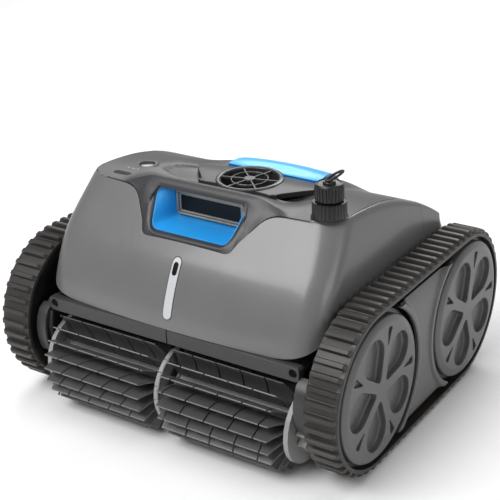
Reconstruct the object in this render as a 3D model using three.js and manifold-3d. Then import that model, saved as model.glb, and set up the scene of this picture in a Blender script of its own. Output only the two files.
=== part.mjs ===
// Tracked pool cleaner: a tunnel-shaped hull on two rubber tracks, with two full-width
// rolling brushes geared to the track wheels and a suction pump that blows out at the top.
//
// Millimetres, +Z up, +Y towards the back, +X to the right of someone facing the front.
// The origin is on the ground, in the middle of the machine.
import * as THREE from 'three';
import { mergeVertices } from 'three/addons/utils/BufferGeometryUtils.js';
import Module from 'manifold-3d';

const wasm = await Module();
wasm.setup();

// ---------- driving dimensions ----------
const GAP = 0.3;                  // clearance between pieces that touch
const AXLE_Z = 88.5;              // height of the wheel axles
const WHEEL_Y = 98;               // wheel axles, front and back of the middle
const BELT_INNER_R = 79.8;
const BELT_OUTER_R = 83.6;
const LUG_TIP_R = AXLE_Z;         // the lugs stand on the ground
const LUG_PITCH = 13.2;
const BELT_X = [171.5, 207];      // inner and outer edge of a track belt
const DRUM_R = 79.2;
const COVER_R = 75;
const COVER_FACE_X = 209.3;
const AXLE_R = 8;
const GEAR_X = [152, 161];        // drive gears and brush pinions
const FRAME_X = [162, 167];       // side frame plates
const GEAR_MODULE = 4;
const WHEEL_TEETH = 14;
const PINION_TEETH = 12;
const BRUSH_Z = 54.5;             // height of the brush axis
const BRUSH_TIP_R = 54;
const BRUSH_CORE_R = 22;
const BRUSH_ROWS = 18;
const BRUSH_DISC_R = 41;
const BRUSH_SHAFT_R = 6;
const CENTRE_DISC = [2.6, 8];     // how far left of the middle the centre disc lies
const TUB = { x: 149.5, y: 80, low: 24, high: 117, wall: 3 };
const SHELL_LOW = 127.8;          // lower rim of the hull shells
const SHELL_WALL = 3;
const SHELL_BACK = 161;
const SHELL_SPLIT_Y = 72;         // seam between the main shell and the rear shell
const DECK_X = 152;               // half width of the top deck
const KNOB = { x: 135.5, y: -70 };
const GRILLE = { y: -4, r: 30, top: 237 };
const LID_X = 58;
const LID_Y = [37, 112];
const WINDOW = { half: [47, 56], z: [209.5, 245.5], back: -75 };   // hand window, wider at its top
const SIGHT = { half: 38, z: [218, 238] };                         // sight window at its back
const LED = { half: 5, z: [137, 198] };
const BUTTON = { x: -112, y: -35, r: 8 };
const HANGER = { pin: 5.9, bore: 6.3 };
const INTAKE = { x: 55, y: 13 };  // half sizes of the suction slot in the tub floor
const MOTOR_RISE = 9;             // drive motors sit a little above the wheel axles

const gearDistance = GEAR_MODULE * (WHEEL_TEETH + PINION_TEETH) / 2;
const BRUSH_Y = WHEEL_Y + Math.sqrt(gearDistance ** 2 - (AXLE_Z - BRUSH_Z) ** 2);
const MOTOR = {
  y: -WHEEL_Y + Math.sqrt(gearDistance ** 2 - MOTOR_RISE ** 2),
  z: AXLE_Z + MOTOR_RISE,
};

// ---------- finishes ----------
const finish = (color, roughness, metalness = 0) =>
  new THREE.MeshStandardMaterial({ color, roughness, metalness });
const paintedGrey = finish(0x7d7d7e, 0.3);
const darkPlastic = finish(0x4e4e50, 0.5);
const coverGrey = finish(0x6b6b6c, 0.4);
const blackPlastic = finish(0x1d1d1e, 0.5);
const rubber = finish(0x37342f, 0.7);
const brushPvc = finish(0x3c3c3d, 0.6);
const lightGrey = finish(0xb4b4b4, 0.5);
const bluePlastic = finish(0x1e8fe0, 0.4);
const lidBlue = finish(0x42b8f2, 0.35);
const clearPane = finish(0x2a2f36, 0.1);
const meshGrey = finish(0x8f9499, 0.6);
const steel = finish(0xa8a8a8, 0.35, 1);

// ---------- solids ----------
function toSolid(geometry) {
  const bare = geometry.index ? geometry.toNonIndexed() : geometry.clone();
  bare.deleteAttribute('normal');
  bare.deleteAttribute('uv');
  const merged = mergeVertices(bare, 1e-4);
  return new wasm.Manifold(new wasm.Mesh({
    numProp: 3,
    vertProperties: new Float32Array(merged.attributes.position.array),
    triVerts: new Uint32Array(merged.index.array),
  }));
}

function toGeometry(solid) {
  const mesh = solid.getMesh();
  const geometry = new THREE.BufferGeometry();
  geometry.setAttribute('position', new THREE.BufferAttribute(mesh.vertProperties, 3));
  geometry.setIndex(new THREE.BufferAttribute(mesh.triVerts, 1));
  return geometry;
}

const join = (first, ...rest) => rest.reduce((sum, next) => sum.add(next), first);
const cut = (first, ...rest) => rest.reduce((sum, next) => sum.subtract(next), first);

// A box between two values on each axis.
function box([x0, x1], [y0, y1], [z0, z1]) {
  const geometry = new THREE.BoxGeometry(x1 - x0, y1 - y0, z1 - z0);
  return toSolid(geometry.translate((x0 + x1) / 2, (y0 + y1) / 2, (z0 + z1) / 2));
}

const AXES = {
  x: new THREE.Matrix4().makeBasis(
    new THREE.Vector3(0, 1, 0), new THREE.Vector3(0, 0, 1), new THREE.Vector3(1, 0, 0)),
  z: new THREE.Matrix4(),
};

// A flat outline carried along an axis: (y, z) points along x, or (x, y) points along z.
function prism(axis, shape, from, to) {
  const outline = shape instanceof THREE.Shape
    ? shape
    : new THREE.Shape(shape.map(([u, v]) => new THREE.Vector2(u, v)));
  const options = { depth: to - from, bevelEnabled: false, curveSegments: 6 };
  const geometry = new THREE.ExtrudeGeometry(outline, options);
  return toSolid(geometry.translate(0, 0, from).applyMatrix4(AXES[axis]));
}

// A profile of (radius, place) points turned about an axis.
function turned(axis, profile, segments = 32) {
  const points = profile.map(([radius, place]) => new THREE.Vector2(radius, place));
  const geometry = new THREE.LatheGeometry(points, segments);
  if (axis === 'x') geometry.rotateZ(-Math.PI / 2);
  if (axis === 'z') geometry.rotateX(Math.PI / 2);
  return toSolid(geometry);
}

const disc = (axis, radius, from, to, segments = 32) =>
  turned(axis, [[0, from], [radius, from], [radius, to], [0, to]], segments);

// Rings of equal point count joined into one closed skin, with a fan at each end.
function loft(rings) {
  const count = rings[0].length;
  const points = rings.flat();
  const index = [];
  for (let level = 0; level + 1 < rings.length; level++) {
    for (let i = 0; i < count; i++) {
      const a = level * count + i;
      const b = level * count + (i + 1) % count;
      index.push(a, b, b + count, a, b + count, a + count);
    }
  }
  for (const level of [0, rings.length - 1]) {
    const middle = rings[level].reduce((sum, p) => sum.add(p), new THREE.Vector3()).divideScalar(count);
    points.push(middle);
    for (let i = 0; i < count; i++) {
      const a = level * count + i;
      const b = level * count + (i + 1) % count;
      index.push(points.length - 1, ...(level === 0 ? [b, a] : [a, b]));
    }
  }
  const geometry = new THREE.BufferGeometry();
  const flat = points.flatMap((p) => p.toArray());
  geometry.setAttribute('position', new THREE.Float32BufferAttribute(flat, 3));
  geometry.setIndex(index);
  return toSolid(geometry);
}

// Straight lines between (place, value) knots.
function along(knots, at) {
  const next = knots.findIndex(([place]) => place >= at);
  if (next === 0) return knots[0][1];
  if (next < 0) return knots[knots.length - 1][1];
  const [p0, v0] = knots[next - 1];
  const [p1, v1] = knots[next];
  return v0 + (v1 - v0) * (at - p0) / (p1 - p0);
}

const model = new THREE.Group();

// Adds one named piece. Pieces drawn about their own axis are placed by position and turn.
function piece(name, solid, material, { at = [0, 0, 0], turn = 0, parent = model } = {}) {
  const mesh = new THREE.Mesh(toGeometry(solid), material);
  mesh.name = name;
  mesh.position.set(...at);
  mesh.rotation.z = turn;
  parent.add(mesh);
  return mesh;
}

// ---------- hull ----------
// How far the front face stands out, and how wide the hull is, at each height.
const FRONT = [[118, 162], [140, 159.5], [168, 149.5], [196, 134], [208, 123.5], [232, 103], [262, 80]];
const WIDTH = [[118, 168], [153, 167], [188, 165.5], [210, 162.5], [230, 158.5], [262, 150]];
// Height of the deck along its middle, running down into the rear face.
const RIDGE = [[-170, 244], [-60, 243.5], [-27, 241], [0, 237], [20, 232.5], [40, 226.5], [60, 218.5],
  [80, 209], [100, 197.5], [120, 183.5], [140, 166.5], [152, 152], [161, 130], [170, 100]];
// Height of the deck in the middle, from the handle bridge down past the pump outlet.
const MIDDLE = [[-170, 255], [-84, 255], [-70, 250], [-46, 233], [-36, 231.5], [0, 230.5],
  [20, 228], [40, 224], [60, 223], [80, 217], [100, 204.5], [120, 184], [140, 166.5],
  [152, 152], [161, 130], [170, 100]];

// The hull's outline seen from above at one height, pulled in by a wall thickness.
function hullRing(z, inset) {
  const front = along(FRONT, z) - inset;
  const half = along(WIDTH, z) - inset;
  const back = SHELL_BACK - inset;
  const corner = 30;
  const bow = 9;
  const ring = [];
  const add = (x, y) => ring.push(new THREE.Vector3(x, y, z));
  const straight = half - corner;
  const shoulder = bow * (straight / half) ** 2;
  for (let i = -4; i < 4; i++) add(straight * i / 4, -front + bow * (straight * i / 4 / half) ** 2);
  for (let i = 0; i <= 5; i++) {
    const turn = i / 5 * Math.PI / 2;
    add(straight + corner * Math.sin(turn), -front + shoulder + corner * (1 - Math.cos(turn)));
  }
  for (let i = 0; i <= 5; i++) {
    const turn = i / 5 * Math.PI / 2;
    add(straight + corner * Math.cos(turn), back - corner + corner * Math.sin(turn));
  }
  for (let i = 0; i <= 5; i++) {
    const turn = i / 5 * Math.PI / 2;
    add(-straight - corner * Math.sin(turn), back - corner + corner * Math.cos(turn));
  }
  for (let i = 0; i < 5; i++) {
    const turn = i / 5 * Math.PI / 2;
    add(-straight - corner * Math.cos(turn), -front + shoulder + corner * (1 - Math.sin(turn)));
  }
  return ring;
}

// Deck height at a place: the ridge line at the sides blends into the middle line.
function deckHeight(x, y) {
  const outward = THREE.MathUtils.smoothstep(Math.abs(x), 60, 105);
  return along(MIDDLE, y) + (along(RIDGE, y) - along(MIDDLE, y)) * outward;
}

// Everything below the deck surface, lowered by a wall thickness.
function underDeck(inset) {
  const xs = [-175, -108, -96, -84, -72, -60, -48, -24, 0, 24, 48, 60, 72, 84, 96, 108, 175];
  const ys = [-170, -84, -72, -60, -48, -36, -20, 0, 20, 40, 60, 80, 100, 120, 140, 152, 161, 170];
  const rings = ys.map((y) => [
    ...xs.map((x) => new THREE.Vector3(x, y, deckHeight(x, y) - inset)),
    new THREE.Vector3(175, y, 60),
    new THREE.Vector3(-175, y, 60),
  ]);
  return loft(rings);
}

function hullBlock(inset, low) {
  const levels = [low, 140, 154, 168, 182, 196, 208, 220, 232, 262];
  const sides = loft(levels.map((z) => hullRing(z, inset)));
  return sides.intersect(underDeck(inset));
}

// Outline of the deck seen from above, with the window frame reaching down the front face.
function deckOutline(clearance) {
  const c = clearance;
  const shape = new THREE.Shape();
  shape.moveTo(0, -124 - c);
  shape.lineTo(48, -124 - c);
  shape.quadraticCurveTo(57 + c, -124 - c, 58 + c, -115);
  shape.lineTo(70 + c, -104 - c);
  shape.quadraticCurveTo(76, -93 - c, 90, -92 - c);
  shape.lineTo(124, -89 - c);
  shape.quadraticCurveTo(DECK_X + c, -85 - c, DECK_X + c, -58);
  shape.lineTo(DECK_X + c, 112 + c);
  shape.quadraticCurveTo(DECK_X + c, 128 + c, DECK_X - 16, 128 + c);
  const right = shape.getPoints(5);
  const left = right.slice(1, -1).map((p) => [-p.x, p.y]).reverse();
  return [...right.map((p) => [p.x, p.y]), [-(DECK_X - 16), 128 + c], ...left];
}

// A block along y with a trapezium section: wider at the top, as the hand window is.
function windowBlock(grow, [y0, y1], [z0, z1]) {
  const ring = (y) => [[WINDOW.half[1] + grow, z1], [WINDOW.half[0] + grow, z0],
    [-WINDOW.half[0] - grow, z0], [-WINDOW.half[1] - grow, z1]].map(([x, z]) => new THREE.Vector3(x, y, z));
  return loft([ring(y0), ring(y1)]);
}

const hullOuter = hullBlock(0, SHELL_LOW);
const hullInner = hullBlock(SHELL_WALL, SHELL_LOW - 5);
const hullSkin = hullOuter.subtract(hullInner);
const deckHole = prism('z', deckOutline(GAP), 60, 300);
const deckBlock = prism('z', deckOutline(0), 60, 300);
const behindSplit = box([-200, 200], [SHELL_SPLIT_Y + GAP, 200], [60, 300]);
const beforeSplit = box([-200, 200], [-200, SHELL_SPLIT_Y], [60, 300]);
const ledSlot = box([-LED.half - GAP, LED.half + GAP], [-170, -120], [LED.z[0] - GAP, LED.z[1] + GAP]);

piece('main_shell', cut(hullSkin.intersect(beforeSplit), deckHole, ledSlot), paintedGrey);
piece('rear_shell', hullSkin.intersect(behindSplit).subtract(deckHole), paintedGrey);

const ledBlock = box([-LED.half, LED.half], [-170, -120], LED.z);
piece('status_light', hullBlock(0.5, 120).subtract(hullBlock(4.5, 110)).intersect(ledBlock), lightGrey);

const windowHole = windowBlock(0, [-140, -76], WINDOW.z);
const lidWell = box([-LID_X + 8, LID_X - 8], [LID_Y[0] + 8, LID_Y[1] - 8], [100, 300]);
const outletHole = disc('z', GRILLE.r + 3.6, 180, 300, 40).translate(0, GRILLE.y, 0);
const buttonHole = disc('z', BUTTON.r + GAP, 200, 300, 20).translate(BUTTON.x, BUTTON.y, 0);
const lensHole = box([-127.6, -105.4], [-76.3, -67.7], [236, 300]);
const bridge = prism('x', [[-92, 246.6], [-84, 254.9], [-68, 250], [-70, 246.6]], -60, 60);
const deckSkin = join(hullSkin.intersect(deckBlock), bridge);
const hinge = { y: LID_Y[1] + 5, z: deckHeight(0, LID_Y[1] + 5) + 6, r: 2, ear: [44, 48] };
const hingeEar = (side) => {
  const [x0, x1] = hinge.ear.map((x) => x * side).sort((a, b) => a - b);
  const ear = box([x0, x1], [hinge.y - 4.2, hinge.y + 4.2], [hinge.z - 9, hinge.z + 3.2]);
  return ear.subtract(disc('x', hinge.r + GAP, x0 - 1, x1 + 1, 16).translate(0, hinge.y, hinge.z));
};
piece('top_deck', cut(join(cut(deckSkin, windowHole, lidWell, outletHole, buttonHole, lensHole),
  hingeEar(1), hingeEar(-1)), hullBlock(SHELL_WALL + 8, 110)), darkPlastic);

// ---------- hand window behind the bridge ----------
const trayOuter = windowBlock(2, [-140, WINDOW.back + 3], [WINDOW.z[0] - 2.5, WINDOW.z[1] - 2]);
const trayInner = windowBlock(0, [-145, WINDOW.back], [WINDOW.z[0] + 0.5, 300]);
const sightHole = box([-SIGHT.half, SIGHT.half], [-90, -60], SIGHT.z);
const trayShape = trayOuter.intersect(hullBlock(SHELL_WALL + GAP, 110));
piece('hand_tray', cut(trayShape, trayInner, sightHole), bluePlastic);
const sightFrame = box([-SIGHT.half - 4, SIGHT.half + 4], [WINDOW.back - 3, WINDOW.back - GAP],
  [SIGHT.z[0] - 4, SIGHT.z[1] + 3]);
piece('sight_frame', sightFrame.subtract(sightHole), lightGrey);
piece('sight_pane', box([-SIGHT.half + GAP, SIGHT.half - GAP], [WINDOW.back + 0.3, WINDOW.back + 2.3],
  [SIGHT.z[0] + GAP, SIGHT.z[1] - GAP]), clearPane);

// ---------- control panel on the left ----------
piece('indicator_lens', box([-127.3, -105.7], [-76, -68], [238, 243.3]), blackPlastic);
piece('power_button', disc('z', BUTTON.r, -5, 0, 20), blackPlastic,
  { at: [BUTTON.x, BUTTON.y, deckHeight(BUTTON.x, BUTTON.y) - 0.5] });

// ---------- float connector on the right ----------
const knurled = (radius, ribs, z0, z1) => {
  const outline = [];
  for (let i = 0; i < ribs * 2; i++) {
    const angle = (i + 0.5) / ribs * Math.PI;
    const r = i % 2 ? radius : radius - 1;
    outline.push([r * Math.cos(angle), r * Math.sin(angle)]);
  }
  return prism('z', outline, z0, z1);
};
const knobAt = [KNOB.x, KNOB.y, deckHeight(KNOB.x, KNOB.y) + 0.6];
const knobPost = disc('z', 6, 17.9, 24, 16);
piece('connector_socket', join(knurled(17, 30, 0, 18), knobPost), blackPlastic, { at: knobAt });
const capShell = knurled(14.5, 26, 18.3, 35);
piece('connector_cap', capShell.subtract(disc('z', 6.4, 17, 24.4, 16)), blackPlastic, { at: knobAt });
const clip = prism('x', [[-4, 35.3], [4, 35.3], [13, 41], [13, 44.5], [9, 44.5], [0, 39], [-4, 39]], -3, 3);
piece('connector_clip', clip, blackPlastic, { at: knobAt, turn: -0.9 });

// ---------- pump ----------
const guardRing = turned('z', [[18.5, 233.5], [20.5, 233.5], [20.5, 236], [18.5, 236], [18.5, 233.5]], 24);
const outletTube = turned('z', [[30.8, 212], [33.2, 212], [33.2, 233], [36.5, 233], [36.5, 235.5],
  [35, 237], [30.8, 237], [30.8, 212]], 32);
const guardBars = [0, 1, 2].map((i) =>
  box([-31, 31], [-1, 1], [233.5, 236]).rotate(0, 0, 60 * i + 10));
const outletAxis = { at: [0, GRILLE.y, 0] };
piece('outlet_guard', join(outletTube, guardRing, ...guardBars), darkPlastic, outletAxis);
const IMPELLER = { low: 196, high: 211, hubR: 8, tipR: 27 };
const blade = box([5, IMPELLER.tipR], [-1, 1], [IMPELLER.low + 1, IMPELLER.high - 2]);
const impellerBlades = [0, 1, 2, 3, 4].map((i) => blade.rotate(0, 0, 72 * i));
const impellerHub = disc('z', IMPELLER.hubR, IMPELLER.low, IMPELLER.high, 24);
piece('impeller', join(impellerHub, ...impellerBlades), blackPlastic, outletAxis);
const motorCase = disc('z', 24, 120, IMPELLER.low - 10, 28);
const motorShaft = disc('z', 3, IMPELLER.low - 11, IMPELLER.low - GAP, 12);
piece('pump_motor', join(motorCase, motorShaft), blackPlastic, outletAxis);

// ---------- rear lid and filter ----------
const lidPlan = new THREE.Shape();
lidPlan.moveTo(-LID_X + 6, LID_Y[0]);
lidPlan.lineTo(LID_X - 6, LID_Y[0]);
lidPlan.quadraticCurveTo(LID_X, LID_Y[0], LID_X, LID_Y[0] + 6);
lidPlan.lineTo(LID_X - 8, LID_Y[1] - 12);
lidPlan.quadraticCurveTo(LID_X - 9, LID_Y[1], LID_X - 20, LID_Y[1]);
lidPlan.lineTo(-LID_X + 20, LID_Y[1]);
lidPlan.quadraticCurveTo(-LID_X + 9, LID_Y[1], -LID_X + 8, LID_Y[1] - 12);
lidPlan.lineTo(-LID_X, LID_Y[0] + 6);
lidPlan.quadraticCurveTo(-LID_X, LID_Y[0], -LID_X + 6, LID_Y[0]);
const lidPlate = underDeck(-4.8).subtract(underDeck(-0.8)).intersect(prism('z', lidPlan, 100, 300));
const lidTongue = box([-43, 43], [LID_Y[1] - 4, hinge.y], [hinge.z - 3, hinge.z + 3]);
const lidBarrel = join(disc('x', 3.8, -43.5, 43.5, 20).translate(0, hinge.y, hinge.z), lidTongue);
const lidBore = disc('x', hinge.r + GAP, -50, 50, 16).translate(0, hinge.y, hinge.z);
piece('rear_lid', join(lidPlate, lidBarrel.subtract(underDeck(-0.8))).subtract(lidBore), lidBlue);
piece('lid_hinge_pin', disc('x', hinge.r, -50, 50, 16), steel, { at: [0, hinge.y, hinge.z] });
const basketOuter = box([-46, 46], [48, 101], [119, 191]);
const basketInner = box([-44, 44], [50, 99], [121, 200]);
const basketInlet = disc('z', 14, 110, 130, 20).translate(0, 74, 0);
piece('filter_basket', cut(basketOuter, basketInner, basketInlet), meshGrey);

// ---------- chassis ----------
const tubOuter = box([-TUB.x, TUB.x], [-TUB.y, TUB.y], [TUB.low, TUB.high]);
const tubInner = box([-TUB.x + TUB.wall, TUB.x - TUB.wall], [-TUB.y + TUB.wall, TUB.y - TUB.wall],
  [TUB.low + TUB.wall, 200]);
const intakeHole = box([-INTAKE.x, INTAKE.x], [-INTAKE.y, INTAKE.y], [0, 60]);
const motorShaftHole = (side) => disc('x', 4.4, side > 0 ? 140 : -160, side > 0 ? 160 : -140, 16)
  .translate(0, MOTOR.y, MOTOR.z);
piece('chassis_tub', cut(tubOuter, tubInner, intakeHole, motorShaftHole(1), motorShaftHole(-1)),
  darkPlastic);
const flapPlate = box([-58, 58], [-34, 0], [-1, 1]);
piece('intake_flap', join(flapPlate, disc('x', 2.5, -58, 58, 12)), blackPlastic,
  { at: [0, INTAKE.y + 5, TUB.low + TUB.wall + 3] });
piece('battery_pack', box([-70, 70], [-74, -30], [28, 84]), lightGrey);
piece('control_box', box([-60, 60], [32, 72], [34, 92]), blackPlastic);

const brushAxis = (end) => [0, end * BRUSH_Y, BRUSH_Z];
const wheelAxis = (end) => [0, end * WHEEL_Y, AXLE_Z];
const span = (side, x0, x1) => (side > 0 ? [x0, x1] : [-x1, -x0]);

// A side frame carries both wheel axles, both brush ends and the fairing between the wheels.
function sideFrame(side) {
  const half = [[0, 117], [148, 117], [163, 110], [166.5, 92], [164, 70], [157, 48], [BRUSH_Y, 36],
    [116, 44], [70, 62], [0, 62]];
  const outline = [...half, ...half.slice(1, -1).reverse().map(([y, z]) => [-y, z])];
  const plate = prism('x', outline, ...span(side, ...FRAME_X));
  const flange = (end) => {
    const strip = [[166.5, 92], [163, 110], [160.5, 110], [163.6, 92], [162, 74], [164.4, 72]];
    return prism('x', strip.map(([y, z]) => [y * end, z]), ...span(side, GEAR_X[0], FRAME_X[1]));
  };
  const post = box(span(side, TUB.x + GAP, FRAME_X[0] + 1), [-14, 30], [64, 115]);
  const holes = [1, -1].flatMap((end) => [
    disc('x', AXLE_R + GAP, ...span(side, 160, 170), 24).translate(...wheelAxis(end)),
    disc('x', BRUSH_SHAFT_R + GAP, ...span(side, 160, 170), 20).translate(...brushAxis(end))]);
  return cut(join(plate, flange(1), flange(-1), post), ...holes);
}

// A fairing fills the waist between the two wheels, inside the belt.
function fairing(side) {
  const shape = [[-60, 160], [60, 160], [60, 18], [-60, 18]];
  const plate = prism('x', shape, ...span(side, 198, 206));
  const web = box(span(side, FRAME_X[1] + GAP, 199), [-13, 13], [64, 116]);
  const around = (radius, x0, x1) => [1, -1].map((end) =>
    disc('x', radius, ...span(side, x0, x1), 40).translate(...wheelAxis(end)));
  const rims = join(...around(87, 205, 208)).intersect(prism('x', shape, ...span(side, 205, 208)));
  return cut(join(plate, web, rims), ...around(BELT_INNER_R + 1.2, 160, 220));
}

for (const [side, name] of [[-1, 'left'], [1, 'right']]) {
  piece(`${name}_side_frame`, sideFrame(side), darkPlastic);
  piece(`${name}_fairing`, fairing(side), coverGrey);
}

// ---------- bumper bars ----------
const BAR = { face: 162, back: 153, low: 112, high: 127.4, end: 155 };
const SCREW = { x: 148, z: 120.5, r: 3.5, headFace: 160, headBack: 157.3 };

// Two half bars meet at the middle of each end, each on a web that runs in to the tub.
function bumperBar(side, end) {
  const towards = ([y, z]) => [y * end, z];
  const face = [[BAR.face, BAR.low], [BAR.face, BAR.high], [BAR.back, BAR.high], [BAR.back, BAR.low]];
  const web = [[154, 112.5], [154, 116.5], [TUB.y + GAP, 116.5], [TUB.y + GAP, 112.5]];
  const bar = prism('x', face.map(towards), ...span(side, GAP, BAR.end));
  const shelf = prism('x', web.map(towards), ...span(side, GAP, TUB.x));
  return bar.add(shelf).subtract(screwBody(side, end, SCREW.r + 0.4, SCREW.headBack - GAP, BAR.face + 8));
}
// A round body along y at a bumper screw's place.
function screwBody(side, end, radius, from, to) {
  const upright = disc('z', radius, from, to, 16);
  return upright.rotate(end > 0 ? -90 : 90, 0, 0).translate(side * SCREW.x, 0, SCREW.z);
}
for (const [end, endName] of [[-1, 'front'], [1, 'rear']]) {
  for (const [side, name] of [[-1, 'left'], [1, 'right']]) {
    piece(`${endName}_bar_${name}`, bumperBar(side, end), darkPlastic);
    const head = screwBody(side, end, SCREW.r, SCREW.headBack, SCREW.headFace);
    piece(`${endName}_bar_screw_${name}`, head, steel);
  }
}

// ---------- gears ----------
const PRESSURE = THREE.MathUtils.degToRad(25);
const involute = (angle) => Math.tan(angle) - angle;

// Outline of a spur gear whose first tooth points at the phase angle.
function gearOutline(teeth, phase) {
  const pitch = GEAR_MODULE * teeth / 2;
  const base = pitch * Math.cos(PRESSURE);
  const backlash = 0.35 / pitch;
  const halfAt = (r) => Math.PI / 2 / teeth - backlash + involute(PRESSURE)
    - involute(Math.acos(Math.min(1, base / r)));
  const radii = [pitch - 0.95 * GEAR_MODULE, pitch + 0.75 * GEAR_MODULE];
  const outline = [];
  for (let tooth = 0; tooth < teeth; tooth++) {
    const middle = phase + tooth / teeth * 2 * Math.PI;
    const flank = radii.map((r) => [r, halfAt(Math.max(r, base))]);
    for (const [r, half] of flank) outline.push([r, middle - half]);
    for (const [r, half] of flank.reverse()) outline.push([r, middle + half]);
  }
  return outline.map(([r, angle]) => [r * Math.cos(angle), r * Math.sin(angle)]);
}

// The phase of a pinion in mesh with the wheel gear, for the direction from gear to pinion.
function pinionPhase(direction, gearPhase) {
  const step = 2 * Math.PI / WHEEL_TEETH;
  const off = gearPhase - direction;
  const offset = off - Math.round(off / step) * step;
  return direction + Math.PI - offset * WHEEL_TEETH / PINION_TEETH + Math.PI / PINION_TEETH;
}
const gearPhaseAt = (end) => Math.atan2(BRUSH_Z - AXLE_Z, end * (BRUSH_Y - WHEEL_Y));

// ---------- wheels ----------
function wheel(side, end) {
  const half = [[0, 151.5], [AXLE_R, 151.5], [AXLE_R, 172], [DRUM_R, 172], [DRUM_R, 199.7], [0, 199.7]];
  const drum = turned('x', half, 36);
  const gear = prism('x', gearOutline(WHEEL_TEETH, gearPhaseAt(end)), ...GEAR_X);
  const right = drum.add(gear);
  return side > 0 ? right : mirrored(right);
}
const mirrored = (solid) => solid.mirror([1, 0, 0]);

// A wheel cover: bevelled rim, five petal pockets and five small wedge slots.
function cover(side) {
  const face = COVER_FACE_X;
  let body = turned('x', [[0, 200], [COVER_R, 200], [COVER_R, face - 2.5], [67, face], [0, face]], 40);
  for (let i = 0; i < 5; i++) {
    const petalAngle = THREE.MathUtils.degToRad(39.5 + 72 * i);
    const slotAngle = THREE.MathUtils.degToRad(3.5 + 72 * i);
    body = cut(body, prism('x', petal(petalAngle), 202.5, 215), prism('x', wedge(slotAngle), 205, 215));
  }
  return side > 0 ? body : mirrored(body);
}
// Two circles and their common tangents, the small one near the hub.
function petal(angle) {
  const [near, far] = [{ at: 16, r: 4 }, { at: 44, r: 19.5 }];
  const lean = Math.acos((far.r - near.r) / (far.at - near.at));
  const points = [];
  for (let i = 0; i <= 8; i++) {
    const a = (Math.PI - lean) * (i / 4 - 1);
    points.push([far.at + far.r * Math.cos(a), far.r * Math.sin(a)]);
  }
  for (let i = 0; i <= 2; i++) {
    const a = Math.PI - lean * (1 - i);
    points.push([near.at + near.r * Math.cos(a), near.r * Math.sin(a)]);
  }
  return turnPoints(points, angle);
}
const wedge = (angle) => turnPoints([[46, 0], [62, -5.5], [64, 0], [62, 5.5]], angle);
const turnPoints = (points, angle) => points.map(([u, v]) =>
  [u * Math.cos(angle) - v * Math.sin(angle), u * Math.sin(angle) + v * Math.cos(angle)]);

// ---------- track belts ----------
// A point on the belt loop: distance along it at the carcass surface, and radius.
function beltPoint(distance, radius) {
  const straight = 2 * WHEEL_Y;
  const bend = Math.PI * BELT_OUTER_R;
  const d = distance % (2 * (straight + bend));
  if (d < straight) return [-WHEEL_Y + d, AXLE_Z - radius];
  if (d < straight + bend) {
    const a = (d - straight) / BELT_OUTER_R - Math.PI / 2;
    return [WHEEL_Y + radius * Math.cos(a), AXLE_Z + radius * Math.sin(a)];
  }
  if (d < 2 * straight + bend) return [WHEEL_Y - (d - straight - bend), AXLE_Z + radius];
  const a = (d - 2 * straight - bend) / BELT_OUTER_R + Math.PI / 2;
  return [-WHEEL_Y + radius * Math.cos(a), AXLE_Z + radius * Math.sin(a)];
}
function belt(side) {
  const length = 4 * WHEEL_Y + 2 * Math.PI * BELT_OUTER_R;
  const lugs = Math.round(length / LUG_PITCH);
  const pitch = length / lugs;
  const outline = [];
  for (let i = 0; i < lugs; i++) {
    const start = (i + 0.2) * pitch;
    outline.push(beltPoint(start, BELT_OUTER_R), beltPoint(start + 0.06 * pitch, LUG_TIP_R),
      beltPoint(start + 0.54 * pitch, LUG_TIP_R), beltPoint(start + 0.6 * pitch, BELT_OUTER_R));
  }
  const shape = new THREE.Shape(outline.map(([y, z]) => new THREE.Vector2(y, z)));
  const inner = [];
  for (const end of [1, -1]) {
    for (let i = 0; i <= 16; i++) {
      const a = end * Math.PI / 2 - Math.PI * i / 16;
      const across = end * WHEEL_Y + BELT_INNER_R * Math.cos(a);
      inner.push(new THREE.Vector2(across, AXLE_Z + BELT_INNER_R * Math.sin(a)));
    }
  }
  shape.holes.push(new THREE.Path(inner));
  return prism('x', shape, ...span(side, ...BELT_X));
}

// ---------- brushes ----------
function brushSleeve(side, start) {
  const outline = [];
  const half = 0.8;
  for (let row = 0; row < BRUSH_ROWS; row++) {
    const angle = row / BRUSH_ROWS * 2 * Math.PI;
    outline.push(...turnPoints([[BRUSH_CORE_R, -half], [BRUSH_TIP_R, -half], [BRUSH_TIP_R, half],
      [BRUSH_CORE_R, half]], angle));
  }
  const shape = new THREE.Shape(outline.map(([y, z]) => new THREE.Vector2(y, z)));
  shape.holes.push(new THREE.Path().absarc(0, 0, BRUSH_SHAFT_R + GAP, 0, 2 * Math.PI));
  return prism('x', shape, ...span(side, start, 145.7));
}
function brushEndCap(side, end) {
  const gearPhase = pinionPhase(gearPhaseAt(end), gearPhaseAt(end));
  const body = turned('x', [[0, 118], [BRUSH_SHAFT_R, 118], [BRUSH_SHAFT_R, 146], [BRUSH_DISC_R, 146],
    [BRUSH_DISC_R, 151], [12, 151], [12, 153], [BRUSH_SHAFT_R, 153], [BRUSH_SHAFT_R, 168.5],
    [0, 168.5]], 24);
  const right = body.add(prism('x', gearOutline(PINION_TEETH, gearPhase), ...GEAR_X));
  return side > 0 ? right : mirrored(right);
}
function centreDisc() {
  const [near, far] = CENTRE_DISC;
  return turned('x', [[HANGER.bore, -far], [BRUSH_DISC_R, -far], [BRUSH_DISC_R, -near],
    [HANGER.bore, -near], [HANGER.bore, -far]], 24);
}

// The hanger between the two brush halves, with a pin into each.
function hanger(end) {
  const outline = [[BRUSH_Y - 9, BRUSH_Z], [BRUSH_Y - 9, 112.2], [BRUSH_Y + 6, 112.2],
    [BRUSH_Y + 9, BRUSH_Z], [BRUSH_Y, BRUSH_Z - 9]];
  const arm = prism('x', outline.map(([y, z]) => [y * end, z]), -1.8, 1.8);
  return arm.add(disc('x', HANGER.pin, -24, 24, 16).translate(...brushAxis(end)));
}

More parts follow.
